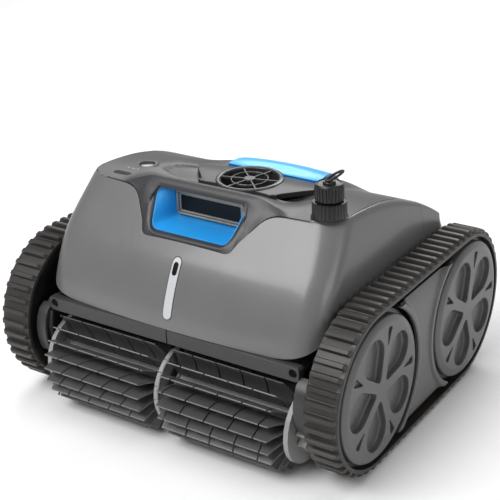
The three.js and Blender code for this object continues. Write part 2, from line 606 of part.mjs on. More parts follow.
for (const [end, endName] of [[-1, 'front'], [1, 'rear']]) {
  for (const [side, name] of [[-1, 'left'], [1, 'right']]) {
    const label = `${endName}_${name}`;
    piece(`${label}_wheel`, wheel(side, end), blackPlastic, { at: wheelAxis(end) });
    piece(`${label}_cover`, cover(side), coverGrey, { at: wheelAxis(end) });
    const sleeveStart = side < 0 ? CENTRE_DISC[1] + GAP : CENTRE_DISC[0];
    piece(`${label}_brush`, brushSleeve(side, sleeveStart), brushPvc, { at: brushAxis(end) });
    piece(`${label}_brush_cap`, brushEndCap(side, end), lightGrey, { at: brushAxis(end) });
  }
  piece(`${endName}_centre_disc`, centreDisc(), lightGrey, { at: brushAxis(end) });
  piece(`${endName}_hanger`, hanger(end), darkPlastic);
}
for (const [side, name] of [[-1, 'left'], [1, 'right']]) {
  piece(`${name}_belt`, belt(side), rubber);
  const motor = join(disc('x', 17, ...span(side, 92, TUB.x - TUB.wall - GAP), 24),
    disc('x', 4, ...span(side, TUB.x - TUB.wall - 1, 151), 12));
  piece(`${name}_drive_motor`, motor, steel, { at: [0, MOTOR.y, MOTOR.z] });
  const phase = pinionPhase(Math.atan2(MOTOR.z - AXLE_Z, MOTOR.y + WHEEL_Y), gearPhaseAt(-1));
  const pinion = prism('x', gearOutline(PINION_TEETH, phase), ...span(side, ...GEAR_X));
  piece(`${name}_motor_pinion`, pinion, lightGrey, { at: [0, MOTOR.y, MOTOR.z] });
}

export default model;
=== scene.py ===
import math

import bmesh
import bpy
import numpy as np
from bpy.props import FloatProperty, FloatVectorProperty, IntProperty, PointerProperty
from mathutils import Matrix, Vector
from mathutils.geometry import tessellate_polygon


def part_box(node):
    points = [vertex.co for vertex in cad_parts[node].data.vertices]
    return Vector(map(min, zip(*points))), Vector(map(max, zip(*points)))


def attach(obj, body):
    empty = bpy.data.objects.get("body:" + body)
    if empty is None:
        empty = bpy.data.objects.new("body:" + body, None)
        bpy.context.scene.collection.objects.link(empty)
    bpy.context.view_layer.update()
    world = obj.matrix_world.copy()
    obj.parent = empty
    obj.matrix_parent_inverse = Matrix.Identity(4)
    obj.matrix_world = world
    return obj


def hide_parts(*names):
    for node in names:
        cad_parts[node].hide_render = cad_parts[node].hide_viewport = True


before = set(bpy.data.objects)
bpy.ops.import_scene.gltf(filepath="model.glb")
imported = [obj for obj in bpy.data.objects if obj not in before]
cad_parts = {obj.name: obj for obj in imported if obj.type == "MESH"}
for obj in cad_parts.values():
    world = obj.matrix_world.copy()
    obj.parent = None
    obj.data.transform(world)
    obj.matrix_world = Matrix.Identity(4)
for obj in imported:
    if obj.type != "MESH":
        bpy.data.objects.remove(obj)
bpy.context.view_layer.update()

bl_info = {
    "name": "Tracked pool cleaner",
    "version": (1, 0, 0),
    "blender": (4, 5, 0),
    "location": "3D View > Sidebar > Pool cleaner",
    "description": "Surfaces and finishes of a tracked pool cleaner around its packed frame",
    "category": "Add Mesh",
}

MM = 0.001
SIDES = (("left", -1), ("right", 1))
ENDS = (("front", -1), ("rear", 1))


def node_box(name):
    """Lowest and highest corner of a CAD node, in millimetres."""
    return [np.array(corner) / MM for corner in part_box(name)]


def node_middle(name):
    """Middle of a CAD node's box, in millimetres."""
    return np.mean(node_box(name), axis=0)


# ---------- places taken from the frame, in millimetres ----------
WHEEL_Y, AXLE_Z = node_middle("rear_right_wheel")[1:]
BRUSH_Y, BRUSH_Z = node_middle("rear_right_brush")[1:]
BELT_X = [corner[0] for corner in node_box("right_belt")]
LUG_TIP_R = node_box("right_belt")[1][2] - AXLE_Z
COVER_X = [corner[0] for corner in node_box("rear_right_cover")]
COVER_R = node_box("rear_right_cover")[1][2] - AXLE_Z
BRUSH_TIP_R = node_box("rear_right_brush")[1][1] - BRUSH_Y
SHELL_LOW = node_box("main_shell")[0][2]
SHELL_SPLIT_Y = node_box("main_shell")[1][1]
KNOB_X, KNOB_Y = node_middle("connector_socket")[:2]
KNOB_Z = node_box("connector_socket")[0][2]
GRILLE_Y = node_middle("outlet_guard")[1]
GRILLE_TOP = node_box("outlet_guard")[1][2]
LID_LOW, LID_HIGH = node_box("rear_lid")
BUTTON_AT = node_middle("power_button")
LENS_LOW, LENS_HIGH = node_box("indicator_lens")
SIGHT_LOW, SIGHT_HIGH = node_box("sight_pane")

# ---------- hull form, in millimetres ----------
# Stand-out of the front face and half width, by height; rear face, by height.
FRONT = [(118, 162), (140, 159.5), (168, 149.5), (196, 134), (208, 123.5), (232, 103), (262, 80)]
HALF = [(118, 168), (153, 167), (188, 165.5), (210, 162.5), (230, 158.5), (262, 150)]
REAR = [(118, 163.5), (130, 161), (152, 152), (166.5, 140), (183.5, 120), (197.5, 100), (209, 80)]
STAND = [(-value, place) for place, value in FRONT]
# Deck height by y: at the sides, and along the middle from the bridge to the rear.
RIDGE = [(-170, 244), (-60, 243.5), (-27, 241), (0, 237), (20, 232.5), (40, 226.5), (60, 218.5),
         (80, 209), (100, 197.5), (120, 183.5), (140, 166.5), (152, 152), (161, 130)]
MIDDLE = [(-170, 255), (-84, 255), (-70, 250), (-46, 233.5), (-30, 231), (0, 230.5), (20, 228),
          (40, 224), (60, 223), (80, 217), (100, 204.5), (120, 184), (140, 166.5), (152, 152),
          (161, 130)]
# Seam between the deck and the front shell, by x, seen from above.
SEAM = [(0, -124), (46, -124), (51, -123.4), (55, -121), (58, -116), (64, -109.5), (70, -103.5),
        (76, -98), (82, -94.6), (90, -92.3), (107, -90.4), (124, -89)]
CORNER_R = 30
BOW = 9
LOBE = {"x": 124, "y": -61, "r": 28}
DECK_REAR = {"x": 136, "y": 112, "r": 16}
RING_X = 64
BRIDGE_X = np.array([0, 8, 16, 24, 32, 40, 47, 50, 53, 56, 60, RING_X], float)
CREST_Y = -84
CREST = [(0, -84), (64, -84), (84, -84.6), (105, -86.2), (128, -88)]
WINDOW_TOP = {"x": 56.6, "y": -90.1, "z": 246.3}
WINDOW_LOW = {"x": 47.2, "y": -117.4, "z": 210.9}
SEAM_GAP = 0.9


# ---------- numbers and curves ----------
def curve(knots, at):
    """Smooth line through (place, value) knots.

    On each span it is the cubic with the given end values whose end slopes are the mean slope of
    the two chords that meet there, limited to three times the flatter chord so it never overshoots.
    """
    place, value = np.array(knots, float).T
    chord = np.diff(value) / np.diff(place)
    flatter = np.minimum(abs(chord[:-1]), abs(chord[1:]))
    middle = (chord[:-1] + chord[1:]) / 2
    middle = np.where(chord[:-1] * chord[1:] > 0, np.clip(middle, -3 * flatter, 3 * flatter), 0)
    slope = np.concatenate([chord[:1], middle, chord[-1:]])
    at = np.clip(at, place[0], place[-1])
    span = np.clip(np.searchsorted(place, at, side="right") - 1, 0, len(chord) - 1)
    width = place[span + 1] - place[span]
    t = (at - place[span]) / width
    start = (1 + 2 * t) * (1 - t) ** 2 * value[span] + t * (1 - t) ** 2 * width * slope[span]
    end = t ** 2 * (3 - 2 * t) * value[span + 1] + t ** 2 * (t - 1) * width * slope[span + 1]
    return start + end


def smooth_step(low, high, at):
    """0 below low, 1 above high, and the cubic 3t^2 - 2t^3 between them."""
    t = np.clip((at - low) / (high - low), 0, 1)
    return t * t * (3 - 2 * t)


def spline_rows(control, count):
    """Clamped cubic B-spline down the first axis: every row is the control rows weighed by the basis."""
    total = len(control)
    knots = np.concatenate([np.zeros(3), np.linspace(0, 1, total - 2), np.ones(3)])
    t = np.linspace(0, 1 - 1e-9, count)[:, None]
    weight = ((t >= knots[:-1]) & (t < knots[1:])).astype(float)
    for degree in (1, 2, 3):
        left, right = knots[:-degree - 1], knots[1 + degree:]
        rise = np.where(knots[degree:-1] > left, knots[degree:-1] - left, 1)
        fall = np.where(right > knots[1:-degree], right - knots[1:-degree], 1)
        weight = (t - left) / rise * weight[:, :-1] + (right - t) / fall * weight[:, 1:]
    return np.tensordot(weight, np.array(control), axes=(1, 0))


def resample(line, count):
    """Points at equal steps of length along an open line of points."""
    steps = np.concatenate([[0], np.cumsum(np.linalg.norm(np.diff(line, axis=0), axis=1))])
    at = np.linspace(0, steps[-1], count)
    return np.stack([np.interp(at, steps, line[:, k]) for k in range(line.shape[1])], axis=-1)


def stack(*parts):
    """Joins coordinate arrays of one shape, or numbers, as the last axis."""
    return np.stack(np.broadcast_arrays(*parts), axis=-1).astype(float)


def mirrored(points):
    """The same points on the other side of the middle plane."""
    return points * np.array([-1, 1, 1])


# ---------- meshes ----------
def grid(points, wrap_rows=False, wrap_columns=False, keep=None):
    """Flat points and quads of a (rows, columns, 3) grid, closed round either way if asked."""
    rows, columns = points.shape[:2]
    i = np.arange(rows if wrap_rows else rows - 1)[:, None]
    j = np.arange(columns if wrap_columns else columns - 1)[None, :]
    after_i, after_j = (i + 1) % rows, (j + 1) % columns
    quads = np.stack(np.broadcast_arrays(
        i * columns + j, i * columns + after_j, after_i * columns + after_j, after_i * columns + j,
    ), axis=-1).reshape(-1, 4)
    flat = points.reshape(-1, 3)
    if keep is not None:
        quads = quads[keep(flat[quads].mean(axis=1))]
    return flat, quads


def fill(loops):
    """Flat triangles inside the first closed loop and outside the others."""
    loops = [np.asarray(loop, float) for loop in loops]
    triangles = tessellate_polygon([[Vector(point) for point in loop] for loop in loops])
    return np.concatenate(loops), np.array(triangles)


def inset(loop, distance):
    """A closed outline moved inwards by a distance along its mitred normals."""
    ahead = np.roll(loop, -1, axis=0)
    distance *= np.sign(np.sum(loop[:, 0] * ahead[:, 1] - ahead[:, 0] * loop[:, 1]))
    edge = ahead - loop
    normal = np.stack([-edge[:, 1], edge[:, 0]], axis=-1)
    normal /= np.linalg.norm(normal, axis=1, keepdims=True)
    mitre = normal + np.roll(normal, 1, axis=0)
    return loop + mitre * (2 * distance / np.sum(mitre ** 2, axis=1, keepdims=True))


def lift(axis, outline, height):
    """A flat outline placed square to an axis: (y, z) along x, (x, z) along y or (x, y) along z."""
    u, v = outline[:, 0], outline[:, 1]
    return {"x": stack(height, u, v), "y": stack(u, height, v), "z": stack(u, v, height)}[axis]


def steps(axis, loop, rows, sign=1):
    """A wall carried round a closed outline: each (inset, height) row is the outline moved in."""
    return grid(np.stack([lift(axis, inset(loop, sign * d), h) for d, h in rows]), wrap_columns=True)


def round_over(radius, top, away=1, count=4):
    """(inset, height) rows of a quarter circle from an edge up to a face at the given height."""
    turn = np.linspace(0, math.pi / 2, count)
    rows = [(radius * (1 - math.cos(t)), top - away * radius * (1 - math.sin(t))) for t in turn]
    return rows + [(radius + 0.15, top)]


def plate(axis, outer, low, high, radius=0.8, holes=(), pockets=(), rim=None):
    """A flat solid with its outer side at high: rounded outer edges, through holes and pockets.

    Each pocket is an outline, the height of its floor and the radius of the cove round the floor.
    """
    away = 1 if high > low else -1
    top = round_over(radius, high, away)
    edge = rim or [(0, low)] + top
    patches = [steps(axis, outer, edge), fill([lift(axis, outer, low)] + [lift(axis, h, low) for h in holes])]
    openings = [inset(outer, edge[-1][0])]
    for hole in holes:
        patches.append(steps(axis, hole, [(0, low)] + top, -1))
        openings.append(inset(hole, -top[-1][0]))
    for pocket, floor, cove in pockets:
        turn = np.linspace(0, math.pi / 2, 4)
        wall = [(-d, h) for d, h in reversed(top)]
        wall += [(cove * (1 - math.cos(t)), floor + away * cove * (1 - math.sin(t))) for t in turn]
        wall.append((cove + 0.1, floor))
        patches.append(steps(axis, pocket, wall))
        patches.append(fill([lift(axis, inset(pocket, wall[-1][0]), floor)]))
        openings.append(inset(pocket, wall[0][0]))
    patches.append(fill([lift(axis, loop, high) for loop in openings]))
    return patches


def lathe(axis, profile, centre, segments=96, radius_at=None):
    """A closed or axis-to-axis profile of (radius, place) turned round a line along x or z.

    radius_at(radius, angle, place) can change the radius round the turn, as knurls need.
    """
    profile = np.array(profile, float)
    angle = np.linspace(0, 2 * math.pi, segments, endpoint=False)[None, :]
    radius, place = profile[:, :1], profile[:, 1:]
    radius = radius_at(radius, angle, place) if radius_at else radius + 0 * angle
    u, v, place = radius * np.cos(angle), radius * np.sin(angle), place + 0 * angle
    points = stack(place, u, v) if axis == "x" else stack(u, v, place)
    return grid(points + np.array(centre), wrap_columns=True)


def rod(axis, radius, low, high, centre, chamfer=0.6, segments=48):
    """A round rod with chamfered ends, as a lathe patch."""
    profile = [(0, low), (radius - chamfer, low), (radius, low + chamfer), (radius, high - chamfer),
               (radius - chamfer, high), (0, high)]
    return lathe(axis, profile, centre, segments)


def brick(low, high):
    """The six quads of a box."""
    corner = np.array([[x, y, z] for x in (0, 1) for y in (0, 1) for z in (0, 1)], float)
    quads = np.array([[0, 1, 3, 2], [4, 6, 7, 5], [0, 4, 5, 1], [2, 3, 7, 6], [0, 2, 6, 4], [1, 5, 7, 3]])
    return np.array(low) + corner * (np.array(high) - np.array(low)), quads


def rounded_box(half_u, half_v, radius, count=6):
    """Outline of a rectangle with round corners, anticlockwise, about the origin."""
    turn = np.linspace(0, math.pi / 2, count)
    corner = []
    for quarter, (su, sv) in enumerate([(1, 1), (-1, 1), (-1, -1), (1, -1)]):
        angle = turn + quarter * math.pi / 2
        corner.append(stack(su * (half_u - radius) + radius * np.cos(angle),
                            sv * (half_v - radius) + radius * np.sin(angle)))
    return np.concatenate(corner)


def circle(radius, centre=(0, 0), count=64):
    """Outline of a circle, anticlockwise."""
    angle = np.linspace(0, 2 * math.pi, count, endpoint=False)
    return stack(centre[0] + radius * np.cos(angle), centre[1] + radius * np.sin(angle))


def make_piece(name, patches, material, body, stands_for=(), outward=None, wall=0.0,
               bevel=0.0, sharp=35.0):
    """Joins patches of points and faces, in millimetres, into one object in the frame.

    Points closer than 2 micrometres are merged and faces are turned outwards: on an open sheet,
    outwards is away from the point given as outward.
    """
    places = np.concatenate([points for points, faces in patches]) * MM
    starts = np.cumsum([0] + [len(points) for points, faces in patches])
    corners = [face for start, (points, faces) in zip(starts, patches) for face in (faces + start).tolist()]
    mesh = bpy.data.meshes.new(name)
    mesh.from_pydata(places.tolist(), [], corners)
    mesh.validate()
    form = bmesh.new()
    form.from_mesh(mesh)
    bmesh.ops.remove_doubles(form, verts=form.verts, dist=2e-6)
    bmesh.ops.dissolve_degenerate(form, edges=form.edges, dist=1e-7)
    loose = [vertex for vertex in form.verts if not vertex.link_faces]
    bmesh.ops.delete(form, geom=loose, context="VERTS")
    bmesh.ops.recalc_face_normals(form, faces=form.faces)
    if outward is not None:
        origin = Vector(outward) * MM
        facing = sum(f.normal.dot(f.calc_center_median() - origin) * f.calc_area() for f in form.faces)
        if facing < 0:
            bmesh.ops.reverse_faces(form, faces=form.faces)
    form.to_mesh(mesh)
    form.free()
    mesh.polygons.foreach_set("use_smooth", np.ones(len(mesh.polygons), bool))
    mesh.set_sharp_from_angle(angle=math.radians(sharp))
    mesh.materials.append(material)
    piece = bpy.data.objects.new(name, mesh)
    bpy.context.scene.collection.objects.link(piece)
    if wall:
        skin = piece.modifiers.new("wall", "SOLIDIFY")
        skin.thickness = wall * MM
        skin.offset = -1
    if bevel:
        edge = piece.modifiers.new("edge", "BEVEL")
        edge.width = bevel * MM
        edge.segments = 2
        edge.limit_method = "ANGLE"
        edge.angle_limit = math.radians(sharp)
        edge.harden_normals = True
    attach(piece, body)
    if stands_for:
        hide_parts(*stands_for)
    return piece


# ---------- materials ----------
def linear(code):
    """An sRGB hex colour as linear RGBA."""
    channels = [int(code[k:k + 2], 16) / 255 for k in (1, 3, 5)]
    return [c / 12.92 if c <= 0.04045 else ((c + 0.055) / 1.055) ** 2.4 for c in channels] + [1]


def add_node(tree, kind, sockets=(), **settings):
    """Adds a node, sets its properties, and fills its inputs with values or other nodes' outputs."""
    node = tree.nodes.new(kind)
    for key, value in settings.items():
        setattr(node, key, value)
    for key, value in dict(sockets).items():
        if isinstance(value, bpy.types.NodeSocket):
            tree.links.new(value, node.inputs[key])
        else:
            node.inputs[key].default_value = value
    return node


def ramp(tree, factor, stops, mode="LINEAR"):
    """A colour ramp node with (place, linear colour) stops."""
    node = add_node(tree, "ShaderNodeValToRGB", {"Fac": factor})
    node.color_ramp.interpolation = mode
    elements = node.color_ramp.elements
    while len(elements) > 1:
        elements.remove(elements[-1])
    elements[0].position, elements[0].color = stops[0]
    for place, colour in stops[1:]:
        elements.new(place).color = colour
    return node


def material(name, base):
    """A new node material: its tree, and its shader with the base colour and plain values set."""
    new = bpy.data.materials.new(name)
    new.use_nodes = True
    tree = new.node_tree
    shader = tree.nodes["Principled BSDF"]
    for socket, value in base.items():
        shader.inputs[socket].default_value = value
    return new, tree, shader


def moulded(name, colour, grain, depth, roughness, spread=0.06, tint=0.06, **extra):
    """A moulded or painted plastic.

    grain is the width of one grain of the tool's surface in millimetres and depth its height, as
    bump. Broad soft noise moves the roughness by spread and the colour by tint, as flow lines and
    handling do.
    """
    colour = linear(colour) if isinstance(colour, str) else [*colour, 1]
    new, tree, shader = material(name, {"Base Color": colour, "Roughness": roughness, **extra})
    place = add_node(tree, "ShaderNodeTexCoord").outputs["Object"]
    fine = add_node(tree, "ShaderNodeTexNoise", {"Vector": place, "Scale": 1 / (grain * MM), "Detail": 3})
    broad = add_node(tree, "ShaderNodeTexNoise", {"Vector": place, "Scale": 1 / (45 * MM), "Detail": 2})
    dark = [c * (1 - tint) for c in colour[:3]] + [1]
    light = [min(1, c * (1 + tint)) for c in colour[:3]] + [1]
    shade = ramp(tree, broad.outputs["Fac"], [(0.35, dark), (0.65, light)])
    tree.links.new(shade.outputs["Color"], shader.inputs["Base Color"])
    rough = add_node(tree, "ShaderNodeMapRange", {
        "Value": broad.outputs["Fac"], "From Min": 0.3, "From Max": 0.7,
        "To Min": roughness - spread / 2, "To Max": roughness + spread / 2})
    tree.links.new(rough.outputs["Result"], shader.inputs["Roughness"])
    bump = add_node(tree, "ShaderNodeBump", {
        "Strength": 1, "Distance": depth * MM, "Height": fine.outputs["Fac"]})
    tree.links.new(bump.outputs["Normal"], shader.inputs["Normal"])
    return new


def brush_vinyl():
    """Extruded PVC blades: dull near the core, with a paler band along the last 2 mm of the tip as painted
    highlight, where the tip faces catch light.
    """
    new, tree, shader = material("extruded_pvc_blade", {"Roughness": 0.42, "Specular IOR Level": 0.5})
    place = add_node(tree, "ShaderNodeTexCoord").outputs["Object"]
    parts = add_node(tree, "ShaderNodeSeparateXYZ", {"Vector": place})
    away = add_node(tree, "ShaderNodeMath", {0: parts.outputs["Y"]}, operation="ABSOLUTE")
    across = add_node(tree, "ShaderNodeMath", {0: away.outputs[0], 1: BRUSH_Y * MM}, operation="SUBTRACT")
    up = add_node(tree, "ShaderNodeMath", {0: parts.outputs["Z"], 1: BRUSH_Z * MM}, operation="SUBTRACT")
    flat = add_node(tree, "ShaderNodeCombineXYZ", {"X": across.outputs[0], "Y": up.outputs[0]})
    radius = add_node(tree, "ShaderNodeVectorMath", {0: flat.outputs[0]}, operation="LENGTH")
    step = add_node(tree, "ShaderNodeMapRange", {
        "Value": radius.outputs["Value"], "From Min": 22 * MM, "From Max": BRUSH_TIP_R * MM})
    noise = add_node(tree, "ShaderNodeTexNoise", {"Vector": place, "Scale": 220.0, "Detail": 3.0})
    wobble = add_node(tree, "ShaderNodeMath", {0: noise.outputs["Fac"], 1: 0.03, 2: -0.015},
                      operation="MULTIPLY_ADD")
    reach = add_node(tree, "ShaderNodeMath", {0: step.outputs["Result"], 1: wobble.outputs[0]})
    # Painted highlight: the last stop lightens the outer 2 mm of each blade, where the tips catch light.
    shade = ramp(tree, reach.outputs[0], [(0.0, linear("#626264")), (0.3, linear("#585859")),
                                         (0.965, linear("#4c4c4d")), (0.99, linear("#6e6e6f"))])
    tree.links.new(shade.outputs["Color"], shader.inputs["Base Color"])
    bump = add_node(tree, "ShaderNodeBump", {
        "Strength": 0.6, "Distance": 0.15 * MM, "Height": noise.outputs["Fac"]})
    tree.links.new(bump.outputs["Normal"], shader.inputs["Normal"])
    return new


def paint_scoop_shade(kind, share):
    """Paints shade: multiplies a finish's colour by share where its piece has its point attribute of painted
    shade at 1.

    The darkening is painted shade: the two hollows turn away from the light, so they look darker than the
    satin deck round them.
    """
    tree = kind.node_tree
    base = tree.nodes["Principled BSDF"].inputs["Base Color"]
    scoop_shade = add_node(tree, "ShaderNodeAttribute", attribute_name="scoop_shade")
    mix = add_node(tree, "ShaderNodeVectorMath", {0: base.links[0].from_socket, 1: (share, share, share)},
                   operation="MULTIPLY")
    blend = add_node(tree, "ShaderNodeMix", data_type="VECTOR")
    tree.links.new(scoop_shade.outputs["Fac"], blend.inputs[0])
    tree.links.new(base.links[0].from_socket, blend.inputs[4])
    tree.links.new(mix.outputs[0], blend.inputs[5])
    tree.links.new(blend.outputs[1], base)
    return kind


def make_materials():
    """All finishes, by short name."""
    look = bpy.context.scene.cleaner_finish
    return {
        # Painted ABS shell: smooth, with a clear lacquer that mirrors the room softly.
        "shell": moulded("lacquered_abs_shell", look.shell, 2.5, 0.004, 0.34, 0.04, 0.02,
                         **{"Coat Weight": 0.22, "Coat Roughness": 0.12, "Coat IOR": 1.5}),
        # Deck of ABS moulded against a finely eroded tool: even satin, with edges that catch light.
        # Painted shade: the deck's colour is darkened to 0.42 in the two hollows beside the pump housing.
        "deck": paint_scoop_shade(moulded("eroded_abs_deck", look.deck, 0.7, 0.03, 0.4, 0.06, 0.04), 0.42),
        # Wheel covers and fairings: smoother ABS in a mid grey.
        "cover": moulded("moulded_abs_cover", look.cover, 1.2, 0.015, 0.36, 0.06, 0.04),
        # Frames and bars: filled polypropylene, a little chalky.
        "frame": moulded("filled_polypropylene_frame", "#3a3a3b", 0.9, 0.04, 0.5, 0.08, 0.06),
        # Outlet guard: the same plastic as the deck, left darker and glossier by its polished tool.
        "guard": moulded("polished_abs_guard", "#343436", 1.0, 0.01, 0.26, 0.05, 0.05),
        # Connector, wheels and small parts: black nylon with a low sheen.
        "black": moulded("black_nylon", "#121213", 0.8, 0.03, 0.34, 0.08, 0.1),
        # Control lens and button: black acrylic, polished.
        "lens": moulded("polished_black_acrylic", "#0d0d0e", 3.0, 0.002, 0.12, 0.03, 0.02),
        # Discs, pinions and battery case: natural acetal, pale and slightly waxy.
        "acetal": moulded("natural_acetal", "#929291", 1.0, 0.02, 0.4, 0.08, 0.05,
                          **{"Subsurface Weight": 0.05, "Subsurface Scale": 0.002}),
        # Hand tray: dyed polycarbonate, even and softly glossy.
        "tray": moulded("dyed_polycarbonate_tray", look.tray, 1.5, 0.008, 0.33, 0.05, 0.04,
                        **{"Subsurface Weight": 0.08, "Subsurface Scale": 0.003}),
        # Rear lid: the same polycarbonate in a paler dye.
        "lid": moulded("dyed_polycarbonate_lid", look.lid, 1.5, 0.008, 0.3, 0.05, 0.03,
                       **{"Subsurface Weight": 0.08, "Subsurface Scale": 0.003}),
        # Cut edge and barrel of the lid: a darker copy of the lid's blue, painted shade on the edge faces
        # that turn from the light.
        "lid_shaded_edge": moulded("lid_blue_painted_shade", "#0d63a8", 1.5, 0.008, 0.35, 0.05, 0.05),
        # Track belts: vulcanised rubber, brown-black, dusty in the hollows of its skin.
        "rubber": moulded("vulcanised_rubber_belt", look.rubber, 1.4, 0.09, 0.46, 0.14, 0.14),
        "brush": brush_vinyl(),
        # Brush core: extruded PVC tube, smooth and mid grey.
        "core": moulded("extruded_pvc_core", "#6a6a6c", 1.5, 0.02, 0.36, 0.06, 0.05),
        # Status light: frosted acrylic over white diodes.
        "diffuser": moulded("frosted_acrylic_diffuser", "#b4b6b8", 1.2, 0.03, 0.35, 0.06, 0.06,
                            **{"Emission Color": linear("#e8eaec"), "Emission Strength": 0.05}),
        # Sight window: smoked polycarbonate over a dark chamber.
        "pane": moulded("smoked_polycarbonate_pane", "#1d1e20", 4.0, 0.001, 0.3, 0.02, 0.02,
                        **{"Specular IOR Level": 0.12}),
        # Sight frame: satin chrome plate on plastic.
        "trim": moulded("satin_chrome_trim", "#8f8b84", 1.5, 0.01, 0.3, 0.06, 0.03, **{"Metallic": 0.5}),
        # Screws and pin: brushed stainless steel.
        "steel": moulded("brushed_stainless_steel", "#9a9a9a", 0.6, 0.02, 0.32, 0.1, 0.05,
                         **{"Metallic": 1.0}),
        # Screw heads in the bars: near black and barely reflective, painted shade for the dark holes they sit
        # deep in.
        "screw_hole_shade": moulded("near_black_screw_painted_shade", "#050505", 0.6, 0.02, 0.7, 0.1, 0.1,
                         **{"Specular IOR Level": 0.15}),
        # Filter basket: woven mesh drawn as a coarse weave.
        "mesh": moulded("woven_filter_mesh", "#8f9499", 1.5, 0.25, 0.6, 0.1, 0.12),
        "mark": moulded("printed_pale_ink", "#a5a5a6", 1.0, 0.005, 0.5, 0.05, 0.03),
    }


MATERIALS = {}


# ---------- hull surfaces ----------
def face_y(x, z):
    """Front face: it stands out by FRONT at each height and bows back by BOW towards the sides."""
    return -curve(FRONT, z) + BOW * (x / curve(HALF, z)) ** 2


def deck_height(x, y):
    """Deck: the middle line blends into the side ridge between 60 and 105 mm from the middle."""
    middle, ridge = curve(MIDDLE, y), curve(RIDGE, y)
    return middle + (ridge - middle) * smooth_step(60, 105, abs(x))


def seam_line(count):
    """Half of the seam between front shell and deck: on the front face, over the outline SEAM."""
    x = np.linspace(0, LOBE["x"], 400)
    outline = resample(stack(x, curve(SEAM, x)), count)
    x, y = outline.T
    z = curve(STAND, y - BOW * (x / 160) ** 2)
    return stack(x, y, np.minimum(z, curve(RIDGE, y)))


def wall_columns(z, part, u):
    """Hull wall at heights z for one part of the outline and places u in 0 to 1 along it.

    The outline at each height is a bowed front, straight sides and a rear face, joined by corners
    that are quarter circles of CORNER_R starting square to what they leave.
    """
    half, rear = curve(HALF, z), curve(REAR, z)
    if part in ("rear_side", "rear_corner"):
        share = (1 - u) ** 2 if part == "rear_corner" else 1
        rear = rear + (np.maximum(rear, DECK_REAR["y"] + CORNER_R) - rear) * share
    straight = half - CORNER_R * 0.91
    start = np.arctan(2 * BOW * straight / half ** 2)
    corner_x = straight - CORNER_R * np.sin(start)
    corner_y = face_y(straight, z) + CORNER_R * np.cos(start)
    if part == "front":
        x = straight * u
        return stack(x, face_y(x, z), z)
    if part == "front_corner":
        turn = start + (math.pi / 2 - start) * u
        return stack(corner_x + CORNER_R * np.sin(turn), corner_y - CORNER_R * np.cos(turn), z)
    side_x = corner_x + CORNER_R
    if part == "side":
        return stack(side_x, corner_y + (SHELL_SPLIT_Y - corner_y) * u, z)
    if part == "rear_side":
        return stack(side_x, SHELL_SPLIT_Y + (rear - CORNER_R - SHELL_SPLIT_Y) * u, z)
    if part == "rear_corner":
        turn = math.pi / 2 * u
        return stack(side_x - CORNER_R + CORNER_R * np.cos(turn),
                     rear - CORNER_R + CORNER_R * np.sin(turn), z)
    return stack((side_x - CORNER_R) * (1 - u), rear, z)


def deck_edge(part, u):
    """The seam between shell and deck for the same parts of the outline."""
    if part == "front":
        line = seam_line(400)
        return np.stack([np.interp(u * LOBE["x"], line[:, 0], line[:, k]) for k in range(3)], axis=-1)
    if part == "front_corner":
        x = LOBE["x"] + LOBE["r"] * np.sin(u * math.pi / 2)
        y = LOBE["y"] - LOBE["r"] * np.cos(u * math.pi / 2)
    elif part == "side":
        x, y = LOBE["x"] + LOBE["r"], LOBE["y"] + (SHELL_SPLIT_Y - LOBE["y"]) * u
    elif part == "rear_side":
        x, y = LOBE["x"] + LOBE["r"], SHELL_SPLIT_Y + (DECK_REAR["y"] - SHELL_SPLIT_Y) * u
    elif part == "rear_corner":
        x = DECK_REAR["x"] + DECK_REAR["r"] * np.cos(u * math.pi / 2)
        y = DECK_REAR["y"] + DECK_REAR["r"] * np.sin(u * math.pi / 2)
    else:
        x, y = DECK_REAR["x"] * (1 - u), DECK_REAR["y"] + DECK_REAR["r"]
    return stack(x, y, curve(RIDGE, y + 0 * x))


def shell_half(parts):
    """Right half of a shell: for each place on the outline, a wall up to a rounded top at the seam.

    Each column is a B-spline whose control points climb the hull wall, turn over at a shoulder
    level with the seam and end on the seam. The lower rim rises round the corners with the 2.2nd
    power of the way along them, so that it clears the belts.
    """
    blocks = []
    for part, count in parts:
        u = np.linspace(0, 1, count)
        edge = deck_edge(part, u)
        top = edge[:, 2]
        if part == "front":
            ahead = np.maximum(0, u * 138 - 114)
        elif part == "rear":
            ahead = np.maximum(0, (1 - u) * 138 - 114)
        else:
            ahead = {"front_corner": 24 + 38 * u, "rear_corner": 62 - 38 * u}.get(part, 62 + 0 * u)
        low = SHELL_LOW + 24 * (ahead / 62) ** 2.2
        climb = np.array([0, 0.1, 0.2, 0.3, 0.4, 0.5, 0.6, 0.7, 0.8, 0.9, 0.97])
        rows = [wall_columns(low + (top - low) * c, part, u) for c in climb]
        brow = wall_columns(top, part, u)
        if part == "front":
            x = rows[0][:, 0]
            for row, c in zip(rows + [brow], list(climb) + [1]):
                row[:, 0] = x + (edge[:, 0] - x) * c
                row[:, 1] = face_y(row[:, 0], row[:, 2])
        shoulder = (brow * 0.55 + edge * 0.45)
        shoulder[:, 2] = top
        blocks.append(spline_rows(rows + [shoulder, edge], 46))
    joined = [blocks[0]] + [block[:, 1:] for block in blocks[1:]]
    return np.concatenate(joined, axis=1)


def make_shells():
    """Main shell round the front and sides, and the rear shell behind its seam."""
    thickness = bpy.context.scene.cleaner_sizes.wall / MM
    front = shell_half([("front", 60), ("front_corner", 14), ("side", 30)])
    whole = np.concatenate([mirrored(front[:, :0:-1]), front], axis=1)
    make_piece("main_shell_skin", [grid(whole)], MATERIALS["shell"], "hull", ["main_shell"],
               outward=(0, 0, 120), wall=thickness, bevel=0.7)
    rear = shell_half([("rear_side", 12), ("rear_corner", 14), ("rear", 24)])
    rear[..., 1] += 0.35 * smooth_step(80, 72, rear[..., 1])
    whole = np.concatenate([rear, mirrored(rear[:, -2::-1])], axis=1)
    make_piece("rear_shell_skin", [grid(whole)], MATERIALS["shell"], "hull", ["rear_shell"],
               outward=(0, 40, 100), wall=thickness, bevel=0.5)


